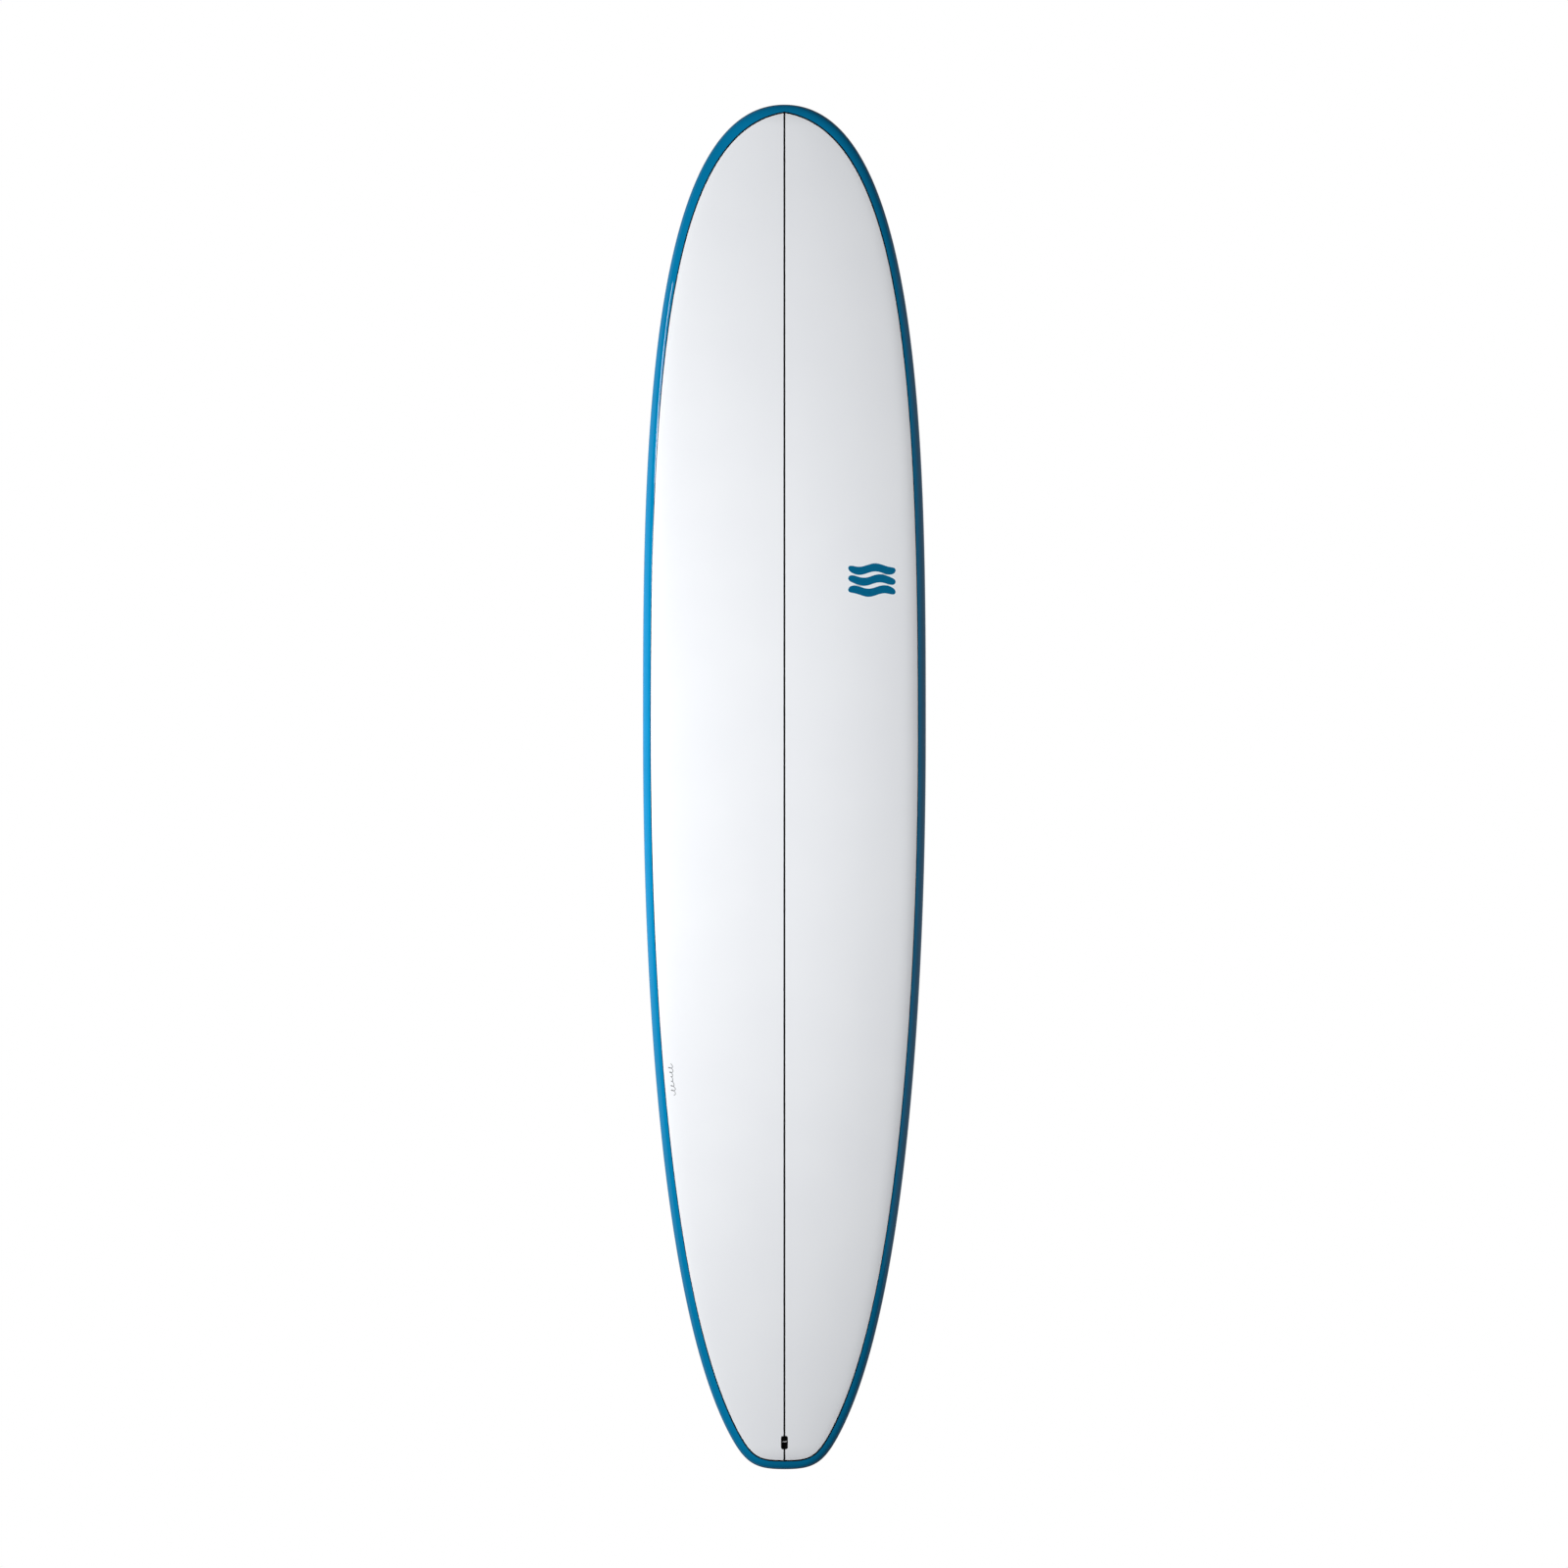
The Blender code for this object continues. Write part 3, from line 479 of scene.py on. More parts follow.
STRINGER_SEEN, tree, shader, place = start_finish(
    "stained_plywood_under_glass", Roughness=0.25, IOR=1.5, Coat_Weight=1.0, Coat_Roughness=0.04,
)
grain = along_grain(tree, place)
feed(tree, shader, Base_Color=shade_between(tree, grain, "#1C1D1F", "#2B2C2E"))

PLY, tree, shader, place = start_finish("stained_plywood", Roughness=0.7)
grain = along_grain(tree, place)
feed(tree, shader, Base_Color=shade_between(tree, grain, "#2A211A", "#5A4634"))
print("made", STRINGER_SEEN.name, "and", PLY.name)

# %% [markdown]
# The core is moulded expanded polystyrene: beads about 3 mm across pressed together, so a cut face
# shows small soft cells and takes no shine. Each cell sinks towards its edge, and its colour is
# painted darker there: painted shade in the grooves between the beads.

# %% Moulded bead foam
FOAM, tree, shader, place = start_finish("expanded_polystyrene_foam", Roughness=0.9)
beads = add_node(tree, "TexVoronoi", {"Vector": place, "Scale": per_metre(3.0)}, feature="F1")
bead_edge = beads.outputs["Distance"]
bump = add_node(tree, "Bump", {"Height": bead_edge, "Distance": -0.25 * MM, "Strength": 0.8})
# Darker towards each bead's edge: painted shade in the grooves between the beads.
feed(tree, shader, Base_Color=shade_between(tree, bead_edge, "#FAFAF6", "#E6E6E0"),
     Normal=bump.outputs["Normal"])
print("made", FOAM.name)

# %% [markdown]
# Leash plug, fin box and plugs are injection moulded in black glass-filled nylon. The mould was
# spark eroded, which leaves a fine matt grain of about 0.4 mm, drawn here at 0.9 mm.

# %% Moulded black nylon
NYLON, tree, shader, place = start_finish("moulded_black_nylon", IOR=1.53)
grain = add_node(tree, "TexNoise", {"Vector": place, "Scale": per_metre(0.9), "Detail": 3.0})
haze = add_node(tree, "TexNoise", {"Vector": place, "Scale": per_metre(14), "Detail": 2.0})
bump = add_node(tree, "Bump", {"Height": grain.outputs["Fac"], "Distance": 0.03 * MM, "Strength": 0.6})
rough = add_node(tree, "MapRange", {"Value": haze.outputs["Fac"], "To Min": 0.38, "To Max": 0.55})
feed(tree, shader, Base_Color=shade_between(tree, haze.outputs["Fac"], "#0C0D0E", "#17181A"),
     Roughness=rough.outputs["Result"], Normal=bump.outputs["Normal"])
print("made", NYLON.name)

# %% [markdown]
# The fins are foiled from a panel of smoked glass cloth and epoxy, sanded and hot coated. The weave
# shows in the colour, and the crossing threads are painted lighter: a painted sheen for the light that
# they catch a little below the surface. The threads of such cloth are 1.2 mm apart, and they are drawn
# at 3 mm so that they still read from an arm's length.

# %% Smoked glass composite
COMPOSITE, tree, shader, place = start_finish(
    "smoked_glass_composite", Roughness=0.34, IOR=1.5, Coat_Weight=0.5, Coat_Roughness=0.12,
)
thread = {"Vector": place, "Scale": wave_scale(3.0), "Distortion": 0.6, "Detail": 1.0}
warp = add_node(tree, "TexWave", thread, bands_direction="Y").outputs["Fac"]
weft = add_node(tree, "TexWave", thread, bands_direction="Z").outputs["Fac"]
cloth = add_node(tree, "Math", {0: warp, 1: weft}, operation="MULTIPLY").outputs[0]
bump = add_node(tree, "Bump", {"Height": cloth, "Distance": 0.02 * MM, "Strength": 0.5})
# The colour is the weave's pattern, painted lighter where the threads cross: a painted sheen.
feed(tree, shader, Base_Color=shade_between(tree, cloth, "#101417", "#2B3238"),
     Normal=bump.outputs["Normal"])
print("made", COMPOSITE.name)

# %% [markdown]
# Pins and screws are stainless steel, turned on a lathe and tumbled, so their shine is broken
# by fine marks about 0.3 mm apart. The nut is brass bar, sawn and drilled, a little dulled.

# %% Stainless steel and brass
def worn_metal(name, low, high, mark_mm, rough_low, rough_high):
    material, tree, shader, place = start_finish(name, Metallic=1.0)
    marks = add_node(tree, "TexNoise", {"Vector": place, "Scale": per_metre(mark_mm), "Detail": 4.0})
    rough = add_node(
        tree, "MapRange",
        {"Value": marks.outputs["Fac"], "To Min": rough_low, "To Max": rough_high},
    )
    bump = add_node(tree, "Bump", {"Height": marks.outputs["Fac"], "Distance": 0.01 * MM})
    feed(tree, shader, Base_Color=shade_between(tree, marks.outputs["Fac"], low, high),
         Roughness=rough.outputs["Result"], Normal=bump.outputs["Normal"])
    print("made", name)
    return material


STEEL = worn_metal("turned_stainless_steel", "#A9ABAD", "#CBCDCF", 0.3, 0.22, 0.4)
BRASS = worn_metal("sawn_brass_bar", "#9C7B3A", "#C9A55A", 0.5, 0.3, 0.5)

# %% [markdown]
# The mark on the deck is printed on a thin film under the last coat: a clear blue with a pale
# edge round it, where the print was laid on a lighter ground. The shaper's own note is soft
# pencil, which sits in the pores of the surface and breaks up along its stroke.

# %% Printed film and pencil
def printed_film(name, low, high):
    material, tree, shader, place = start_finish(
        name, Roughness=0.25, IOR=1.5, Coat_Weight=1.0, Coat_Roughness=0.04,
    )
    ink = add_node(tree, "TexNoise", {"Vector": place, "Scale": per_metre(6), "Detail": 2.0})
    feed(tree, shader, Base_Color=shade_between(tree, ink.outputs["Fac"], low, high))
    return material


PRINT_BLUE = printed_film("printed_blue_film", "#005E85", "#006890")
PRINT_PALE = printed_film("printed_pale_film", "#E4F0F6", "#F2F8FB")

PENCIL, tree, shader, place = start_finish("soft_pencil", Roughness=0.5)
pores = add_node(tree, "TexNoise", {"Vector": place, "Scale": per_metre(1.5), "Detail": 3.0})
feed(tree, shader, Base_Color=shade_between(tree, pores.outputs["Fac"], "#3A3C3F", "#7C7E82"))
print("made", PRINT_BLUE.name, PRINT_PALE.name, PENCIL.name)

# %% [markdown]
# The deck and the bottom are one sheet of laminate each. A grid is laid row by row from tail to
# nose, with its columns crowded towards the rail where the surface turns fastest, and then given
# its real wall of 0.8 mm. Rows fan out at the two ends, where they meet in one point.

# %% Deck and bottom skins
LAMINATE = 0.8 * MM
UNDERLAP = 1.04
FACE_COLUMNS = 22
FACE_CROWDING = 1.5


def face_sheet(name, side):
    half = [0.0, *steps(FACE_COLUMNS, FACE_CROWDING), UNDERLAP]
    lanes = [side * lane for lane in [-lane for lane in reversed(half[1:])] + half]

    def place(row, column):
        lane = lanes[column]
        return hull_point(row, abs(lane), side, math.copysign(1.0, lane))

    bm = bmesh.new()
    lay_sheet(bm, LAST_ROW, len(lanes) - 1, place)
    weld(bm)
    obj = new_object(name, bm)
    thicken(obj, LAMINATE)
    return obj


deck_skin = face_sheet("deck_skin", 1)
bottom_skin = face_sheet("bottom_skin", -1)
print("skins laid:", len(deck_skin.data.polygons), len(bottom_skin.data.polygons))

# %% [markdown]
# The blue band runs right round the board. A grid whose rows go up the right side and back down
# the left is closed at the tail by welding. The columns round the rail are crowded to its edge,
# where the lane turns fastest, so the turn of the rail is even.

# %% Rail band
RAIL_STEPS = 14


def ring_sheet(name, columns, lane_at, wall, proud=0.0):
    """A strip right round the board; lane_at(row, column) gives each corner's (lane, side)."""

    def place(row, column):
        along = min(row, 2 * LAST_ROW - row)
        lane, side = lane_at(along, column)
        return hull_point(along, lane, side, 1.0 if row <= LAST_ROW else -1.0, proud)

    bm = bmesh.new()
    lay_sheet(bm, 2 * LAST_ROW, columns, place)
    weld(bm)
    obj = new_object(name, bm)
    thicken(obj, wall)
    return obj


rail_lanes = [2.0 - (2.0 - UNDERLAP) * (1.0 - k / RAIL_STEPS) ** 2 for k in range(RAIL_STEPS + 1)]
around = [(lane, 1) for lane in rail_lanes] + [(lane, -1) for lane in reversed(rail_lanes[:-1])]
rail = ring_sheet("rail_skin", len(around) - 1, lambda row, column: around[column], LAMINATE)
finish_piece(rail, BOARD, BLUE, ["rail_laminate"])

# %% [markdown]
# A pinline covers the seam between the white and the blue, on the deck and on the bottom. It
# could be a stripe in the finish, but a strip of its own stays crisp at any distance. It is drawn
# wider towards the tail and the nose, where a true line would be too thin to see.

# %% Pinlines
PINLINE_SHARES = (0.0, 0.5, 1.0)
PINLINE_WIDTHS = (1.5 * MM, 3.2 * MM)
PINLINE_SPREAD = (0.35, 0.60)
PINLINE_PROUD = 0.06 * MM


def pinline_lane(row, share):
    """The pinline starts at the white edge, and is drawn wider towards the two ends."""
    tail_share, nose_share = (
        max(0.0, 1.0 - distance / spread)
        for distance, spread in zip((DECK_EDGE[row][1], LENGTH - DECK_EDGE[row][1]), PINLINE_SPREAD)
    )
    width = PINLINE_WIDTHS[0] + (PINLINE_WIDTHS[1] - PINLINE_WIDTHS[0]) * (tail_share + nose_share)
    return 1.0 + share * width / np.linalg.norm(RAIL_EDGE[row] - DECK_EDGE[row])


for name, side in (("deck_pinline_bead", 1), ("bottom_pinline_bead", -1)):
    shares = PINLINE_SHARES[::side]

    def bead_lane(row, column):
        return pinline_lane(row, shares[column]), side

    bead = ring_sheet(name, len(shares) - 1, bead_lane, LAMINATE / 2.0, PINLINE_PROUD)
    finish_piece(bead, BOARD, PINLINE, [name.replace("_bead", "")])

# %% [markdown]
# The stringer shows as a narrow line down the middle of the deck and of the bottom. It is a
# strip of its own, a hair proud of the skin, so that its edges stay as crisp as a saw cut.

# %% Line of the stringer
LINE_WIDTH = 3.8 * MM
LINE_PROUD = 0.05 * MM


def centre_line(name, side):
    """The strip takes its rows from the skin below it, so it never dips under them."""

    def place(row, column):
        station = hull_point(row, 0.0, side).y + LENGTH / 2.0
        return skin_point(side * LINE_WIDTH * (column / 2.0 - 0.5), station, side, LINE_PROUD)

    bm = bmesh.new()
    lay_sheet(bm, LAST_ROW, 2, place)
    obj = new_object(name, bm)
    thicken(obj, LAMINATE / 2.0)
    return obj


deck_line = centre_line("deck_centre_line", 1)
bottom_line = centre_line("bottom_centre_line", -1)
print("stringer lines laid,", LINE_WIDTH / MM, "mm wide")

# %% [markdown]
# Pieces that are let into the board are built in frames of their own, laid on the skin: x across,
# y towards the nose and z straight out of the surface.

# %% Frames laid on the skin
def frame_at(origin, forward, outward):
    z = outward.normalized()
    x = forward.cross(z).normalized()
    y = z.cross(x)
    rotation = Matrix((x, y, z)).transposed().to_4x4()
    return Matrix.Translation(origin) @ rotation


def skin_frame(x, station, side):
    step = 2.0 * MM
    forward = skin_point(x, station + step, side) - skin_point(x, station - step, side)
    across = skin_point(x + step, station, side) - skin_point(x - step, station, side)
    return frame_at(skin_point(x, station, side), forward, side * across.cross(forward))


BOX_STATIONS = (0.090, 0.357)


def box_frame():
    """The fin box lies along the chord of the bottom, sunk by half the bottom's bulge."""
    rear, front = (skin_point(0.0, station, -1) for station in BOX_STATIONS)
    middle = skin_point(0.0, sum(BOX_STATIONS) / 2.0, -1)
    forward = front - rear
    laid = frame_at((rear + front) / 2.0, forward, forward.cross(Vector((1.0, 0.0, 0.0))))
    bulge = (laid.inverted() @ middle).z
    return laid @ Matrix.Translation((0.0, 0.0, bulge / 2.0))


LEASH_STATION = 0.054
LEASH_FRAME = skin_frame(0.0, LEASH_STATION, 1)
BOX_FRAME = box_frame()
SIDE_OFFSET = 0.140
SIDE_STATION = 0.310
SIDE_TOE_IN = math.radians(3.0)
SIDE_FRAMES = {
    hand: skin_frame(right * SIDE_OFFSET, SIDE_STATION, -1)
    @ Matrix.Rotation(right * SIDE_TOE_IN, 4, "Z").inverted()
    for hand, right in (("left", -1.0), ("right", 1.0))
}
print("leash plug at", [round(value, 4) for value in LEASH_FRAME.translation])

# %% [markdown]
# Cups, plugs and screws are all stacks of rings: a ring is a circle, or a circle pulled apart
# into a pill or a rounded rectangle, at some height. Bridging each ring to the next makes the
# wall, and the first and last rings are capped. A profile could be spun instead, but that gives
# round pieces only, and the leash plug and the fin box are longer than they are wide.

# %% Stacks of rings
def pulled(value, by):
    return value + math.copysign(by, value) if abs(value) > TINY else value


def add_ring(bm, width, length, height, segments, roundness):
    """A ring, width across x and length along y; roundness 1 is a pill, less has flat ends."""
    radius = roundness * width / 2.0
    ring = bmesh.ops.create_circle(bm, cap_ends=False, segments=segments, radius=radius)
    for vert in ring["verts"]:
        x, y = vert.co.x, vert.co.y
        vert.co = (pulled(x, width / 2.0 - radius), pulled(y, length / 2.0 - radius), height)
    return list({edge for vert in ring["verts"] for edge in vert.link_edges})


def stack_rings(name, rings, matrix, segments=48, roundness=1.0):
    """A closed solid through rings of (width, length, height), standing in the frame matrix."""
    bm = bmesh.new()
    loops = []
    for width, length, height in rings:
        loops.append(add_ring(bm, width, length, height, segments, roundness))
    for lower, upper in zip(loops, loops[1:]):
        bmesh.ops.bridge_loops(bm, edges=lower + upper)
    for end in (loops[0], loops[-1]):
        bmesh.ops.contextual_create(bm, geom=end)
    bmesh.ops.recalc_face_normals(bm, faces=bm.faces)
    bmesh.ops.transform(bm, matrix=matrix, verts=bm.verts)
    return new_object(name, bm)


def round_rings(profile):
    """Rings of a round piece from pairs of (radius, height) in millimetres."""
    return [(2 * radius * MM, 2 * radius * MM, height * MM) for radius, height in profile]


# %% [markdown]
# Slots and holes are cut with crisp tools, as a router and a drill cut them. A block is a cube
# that is stretched, and a drill is a stack of two rings. Both are made longer than the wall they
# go through, because two faces that lie in one plane would spoil the cut.

# %% Blocks and drills
def block(name, matrix, size, heights, y_centre=0.0):
    """A box of size (width, length) between two heights, standing in the frame matrix."""
    low, high = heights
    bm = bmesh.new()
    bmesh.ops.create_cube(bm, size=1.0)
    bmesh.ops.scale(bm, vec=(*size, high - low), verts=bm.verts)
    bmesh.ops.translate(bm, vec=(0.0, y_centre, (low + high) / 2.0), verts=bm.verts)
    bmesh.ops.transform(bm, matrix=matrix, verts=bm.verts)
    return new_object(name, bm)


def drill(name, matrix, radius, low, high, segments=32):
    """A round cutter between two heights, all in millimetres."""
    return stack_rings(name, round_rings([(radius, low), (radius, high)]), matrix, segments)


# %% [markdown]
# The leash plug is a small black cup, 14 mm wide and 27 mm long with round corners, glued into
# the deck near the tail. Its rim stands a quarter of a millimetre proud with a rounded edge, and
# its floor is dished. The profile runs up the outside, over the rim and down the inside.

# %% Leash plug
LEASH_SIZE = (14.0 * MM, 27.0 * MM)
LEASH_DEPTH = 16.0 * MM
LEASH_ROUNDNESS = 0.64
CUTTER_REACH = 10.0 * MM
CUP_PROFILE = [
    (0.5, -16.0), (0.0, -15.4), (0.0, -0.2), (0.08, 0.08), (0.3, 0.22), (0.65, 0.25),
    (1.0, 0.22), (1.4, 0.02), (1.7, -0.4), (1.8, -1.0), (1.8, -12.0), (2.2, -13.4), (3.2, -14.0),
]


def leash_ring(inset_mm, height_mm):
    return (LEASH_SIZE[0] - 2 * inset_mm * MM, LEASH_SIZE[1] - 2 * inset_mm * MM, height_mm * MM)


cup = stack_rings("leash_cup", [leash_ring(*ring) for ring in CUP_PROFILE], LEASH_FRAME,
                  roundness=LEASH_ROUNDNESS)
finish_piece(cup, BOARD, NYLON, ["leash_plug_cup"])

for skin in (deck_skin, deck_line):
    combine(skin, "DIFFERENCE", stack_rings(
        "leash_pocket", [(*LEASH_SIZE, -LEASH_DEPTH), (*LEASH_SIZE, CUTTER_REACH)], LEASH_FRAME,
        roundness=LEASH_ROUNDNESS))

# %% [markdown]
# A steel pin lies across the cup, and the loop of the leash goes round it. It is a plain rod with
# its two ends chamfered, so one end is described and the other is its mirror image.

# %% Leash pin
PIN_RADIUS = 1.3
PIN_HALF = 5.9
PIN_PLACE = (0.0, 1.8 * MM, -3.2 * MM)
PIN_END = [(0.8, -PIN_HALF), (1.15, -PIN_HALF + 0.3), (PIN_RADIUS, -PIN_HALF + 0.7)]
PIN_PROFILE = PIN_END + [(radius, -height) for radius, height in reversed(PIN_END)]
LIE_ACROSS = Matrix.Rotation(math.pi / 2.0, 4, "Y")

leash_pin = stack_rings("leash_pin", round_rings(PIN_PROFILE),
                        LEASH_FRAME @ (Matrix.Translation(PIN_PLACE) @ LIE_ACROSS), 32)
finish_piece(leash_pin, BOARD, STEEL, ["leash_plug_pin"])

# %% [markdown]
# The centre fin box is a long black moulding with a slot, and a wider channel inside that holds
# the fin's pin and nut. A short entry near the front lets them in. The box could be built wall
# by wall, but cutting it from a solid leaves every wall closed. Then its edges are rounded by a
# third of a millimetre.

# %% Centre fin box
BOX_LENGTH = (BOX_FRAME.inverted() @ skin_point(0.0, BOX_STATIONS[1], -1)).y * 2.0
BOX_SIZE = (25.4 * MM, BOX_LENGTH)
BOX_DEPTH = 19.0 * MM
BOX_END_WALL = 8.0 * MM
SLOT_SIZE = (9.8 * MM, BOX_LENGTH - 2.0 * BOX_END_WALL)
SLOT_DEPTH = 16.8 * MM
CHANNEL_STOP = 1.0 * MM
CHANNEL_SIZE = (15.0 * MM, SLOT_SIZE[1] - 2.0 * CHANNEL_STOP)
CHANNEL = (-13.7 * MM, -9.5 * MM)
ENTRY_SIZE = (CHANNEL_SIZE[0], 14.0 * MM)
ENTRY_Y = 108.0 * MM
ABOVE = 1.0 * MM
BOX_EDGE = 0.3 * MM


def box_solid(name, top):
    return stack_rings(name, [(*BOX_SIZE, -BOX_DEPTH), (*BOX_SIZE, top)], BOX_FRAME, 64)


fin_box = box_solid("fin_box_moulding", 0.0)
combine(
    fin_box, "DIFFERENCE",
    block("slot", BOX_FRAME, SLOT_SIZE, (-SLOT_DEPTH, ABOVE)),
    block("channel", BOX_FRAME, CHANNEL_SIZE, CHANNEL),
    block("entry", BOX_FRAME, ENTRY_SIZE, (CHANNEL[0], ABOVE), ENTRY_Y),
)
soften(fin_box, BOX_EDGE)
finish_piece(fin_box, BOARD, NYLON, ["fin_box"])

for skin in (bottom_skin, bottom_line):
    combine(skin, "DIFFERENCE", box_solid("box_pocket", CUTTER_REACH))

# %% [markdown]
# A fin is a foil: thick near its leading edge, fine at its trailing edge, and thinner towards the
# tip. Its outline is two curves. It could be a flat plate with beveled edges, but the eye knows a
# foil by its soft shading, so a grid wraps round each level of the blade and closes at the tip.

# %% Fin blades
BLADE_ROWS = 44
BLADE_COLUMNS = 48
TIP_THINNING = 0.6
TIP_POWER = 6
FULLNESS = (0.85, 0.35)


def fin_blade(name, leading, trailing, thickness, base, matrix):
    edges = [
        interpolate_bezier(*(Vector((y, z)) for y, z in edge), BLADE_ROWS + 1)
        for edge in (leading, trailing)
    ]

    def place(row, column):
        turn = math.tau * column / BLADE_COLUMNS
        point = edges[0][row].lerp(edges[1][row], (1.0 - math.cos(turn)) / 2.0)
        out = row / BLADE_ROWS
        taper = thickness * (1.0 - TIP_THINNING * out) * math.sqrt(1.0 - out**TIP_POWER)
        half = taper / 2.0 * math.sin(turn) * (FULLNESS[0] + FULLNESS[1] * math.cos(turn))
        return matrix @ Vector((half, point.x, base + point.y))

    bm = bmesh.new()
    lay_sheet(bm, BLADE_ROWS, BLADE_COLUMNS, place)
    weld(bm)
    bmesh.ops.holes_fill(bm, edges=bm.edges)
    bmesh.ops.recalc_face_normals(bm, faces=bm.faces)
    return new_object(name, bm)


# %% [markdown]
# The centre fin stands on a tab that fills the slot of the box. A thin ear at the front of the
# tab takes the screw, and a hole through its rear takes the spring pin. Blade, tab and ear are one
# piece of composite, so they are joined before the holes are drilled.

# %% Centre fin
FIN_LEADING = [(0.071, 0.0), (0.049, 0.085), (-0.008, 0.168), (-0.116, 0.178)]
FIN_TRAILING = [(-0.083, 0.0), (-0.052, 0.066), (-0.068, 0.132), (-0.116, 0.178)]
FIN_THICKNESS = 9.4 * MM
FIN_CLEARANCE = 0.8 * MM
TAB_WIDTH = 9.2 * MM
TAB = (-90.0 * MM, 73.0 * MM)
TAB_HEIGHTS = (-16.2 * MM, 1.4 * MM)
EAR_OVERLAP = 2.0 * MM
EAR = (TAB[1] - EAR_OVERLAP, 90.0 * MM)
EAR_HEIGHTS = (-4.2 * MM, -1.2 * MM)
SCREW_Y = 81.5 * MM
SPRING_PIN_Y = -80.0 * MM
CHANNEL_MIDDLE = sum(CHANNEL) / 2.0
SCREW_HOLE = (2.3, -16.8, 0.0)
SPRING_PIN_HOLE = (2.1, -9.8, 9.8)

screw_place = BOX_FRAME @ Matrix.Translation((0.0, SCREW_Y, 0.0))
pin_across = BOX_FRAME @ Matrix.Translation((0.0, SPRING_PIN_Y, CHANNEL_MIDDLE)) @ LIE_ACROSS

centre_fin = fin_blade(
    "centre_fin_blade", FIN_LEADING, FIN_TRAILING, FIN_THICKNESS, FIN_CLEARANCE, BOX_FRAME)
combine(
    centre_fin, "UNION",
    block("tab", BOX_FRAME, (TAB_WIDTH, TAB[1] - TAB[0]), TAB_HEIGHTS, sum(TAB) / 2.0),
    block("ear", BOX_FRAME, (TAB_WIDTH, EAR[1] - EAR[0]), EAR_HEIGHTS, sum(EAR) / 2.0),
)
combine(
    centre_fin, "DIFFERENCE",
    drill("screw_hole", screw_place, *SCREW_HOLE),
    drill("pin_hole", pin_across, *SPRING_PIN_HOLE),
)
finish_piece(centre_fin, FIN_UNIT, COMPOSITE, ["centre_fin"])

# %% [markdown]
# A split spring pin goes through the tab and rides in the channel. It is a strip of steel rolled
# into a sleeve that doesn't quite close, so a section of its wall is spun less than a full turn.

# %% Spring pin
SLEEVE = (1.15, 1.8)
SLEEVE_HALF = 6.9
SLEEVE_CHAMFER = (0.25, 0.2, 0.1)
SLEEVE_TURN = math.radians(335.0)
SLEEVE_STEPS = 40

split_pin = bmesh.new()
inner, outer = SLEEVE
ease, slope, crest = SLEEVE_CHAMFER
corners = [(inner, -SLEEVE_HALF), (inner, SLEEVE_HALF)]
corners += [(outer - ease, SLEEVE_HALF + slope), (outer, SLEEVE_HALF - crest)]
corners += [(outer, -SLEEVE_HALF + crest), (outer - ease, -SLEEVE_HALF - slope)]
section = [split_pin.verts.new((radius * MM, 0.0, height * MM)) for radius, height in corners]
wall = bmesh.ops.contextual_create(split_pin, geom=section)["faces"]
bmesh.ops.spin(split_pin, geom=wall, cent=(0, 0, 0), axis=(0, 0, 1), dvec=(0, 0, 0),
               angle=SLEEVE_TURN, steps=SLEEVE_STEPS, use_merge=False, use_duplicate=False)
weld(split_pin)
bmesh.ops.recalc_face_normals(split_pin, faces=split_pin.faces)
bmesh.ops.transform(split_pin, matrix=pin_across, verts=split_pin.verts)
finish_piece(new_object("fin_spring_pin", split_pin), FIN_UNIT, STEEL,
             ["fin_roll_pin"])

# %% [markdown]
# A slotted screw goes down through the ear into a square brass nut that waits in the channel, and
# the two clamp the fin. The thread is a stack of rings, wide and narrow in turn, and not a helix:
# only its rows of bright crests are seen, and closed rings keep the mesh sound.

# %% Fin screw and nut
THREAD_PITCH = 0.7
HEAD_LOW = -0.9
HEAD_CLEARANCE = 0.8
SHANK_LOW = -15.2
SHANK_TIP = [(1.6, -15.5), (1.9, SHANK_LOW)]
SCREW_THREAD = [(2.0, 0.15), (2.0, 0.25), (1.68, 0.55)]
HEAD_PROFILE = [
    (2.0, -0.2), (2.0, 0.0), (3.4, 0.0), (3.7, 0.3), (3.7, 1.3), (3.45, 1.75), (2.9, 2.05),
    (2.0, 2.2),
]
DRIVE_SIZE = (1.0 * MM, 10.0 * MM)
DRIVE_HEIGHTS = ((HEAD_LOW + 1.1) * MM, 4.0 * MM)
NUT_SIZE = (14.0 * MM, 12.0 * MM)
NUT_HALF = 1.6 * MM
NUT_EDGE = 0.25 * MM


def thread(low, turns, ridge):
    """Turns of one ridge, given as (radius, rise) pairs, from the height low upwards."""
    return [
        (radius, low + THREAD_PITCH * turn + rise) for turn in range(turns) for radius, rise in ridge
    ]


turns = int((HEAD_LOW - SHANK_LOW - HEAD_CLEARANCE) / THREAD_PITCH)
shank = SHANK_TIP + thread(SHANK_LOW, turns, SCREW_THREAD)
head = [(radius, HEAD_LOW + rise) for radius, rise in HEAD_PROFILE]
screw = stack_rings("fin_slotted_screw", round_rings(shank + head), screw_place, 32)
combine(screw, "DIFFERENCE", block("drive", BOX_FRAME, DRIVE_SIZE, DRIVE_HEIGHTS, SCREW_Y))
finish_piece(screw, FIN_UNIT, STEEL, ["fin_screw"])

nut = block("fin_square_nut", BOX_FRAME, NUT_SIZE,
            (CHANNEL_MIDDLE - NUT_HALF, CHANNEL_MIDDLE + NUT_HALF), SCREW_Y)
combine(nut, "DIFFERENCE", drill("nut_hole", screw_place, *SCREW_HOLE))
soften(nut, NUT_EDGE)
finish_piece(nut, FIN_UNIT, BRASS, ["fin_plate_nut"])

# %% [markdown]
# Each side fin stands on two round plugs. A tab of the fin drops into each plug, and a small
# grub screw with a hex socket leans against the tab to hold it. A hex socket is a drill of six
# sides. One function fits a plug with its screw, because it is needed four times.

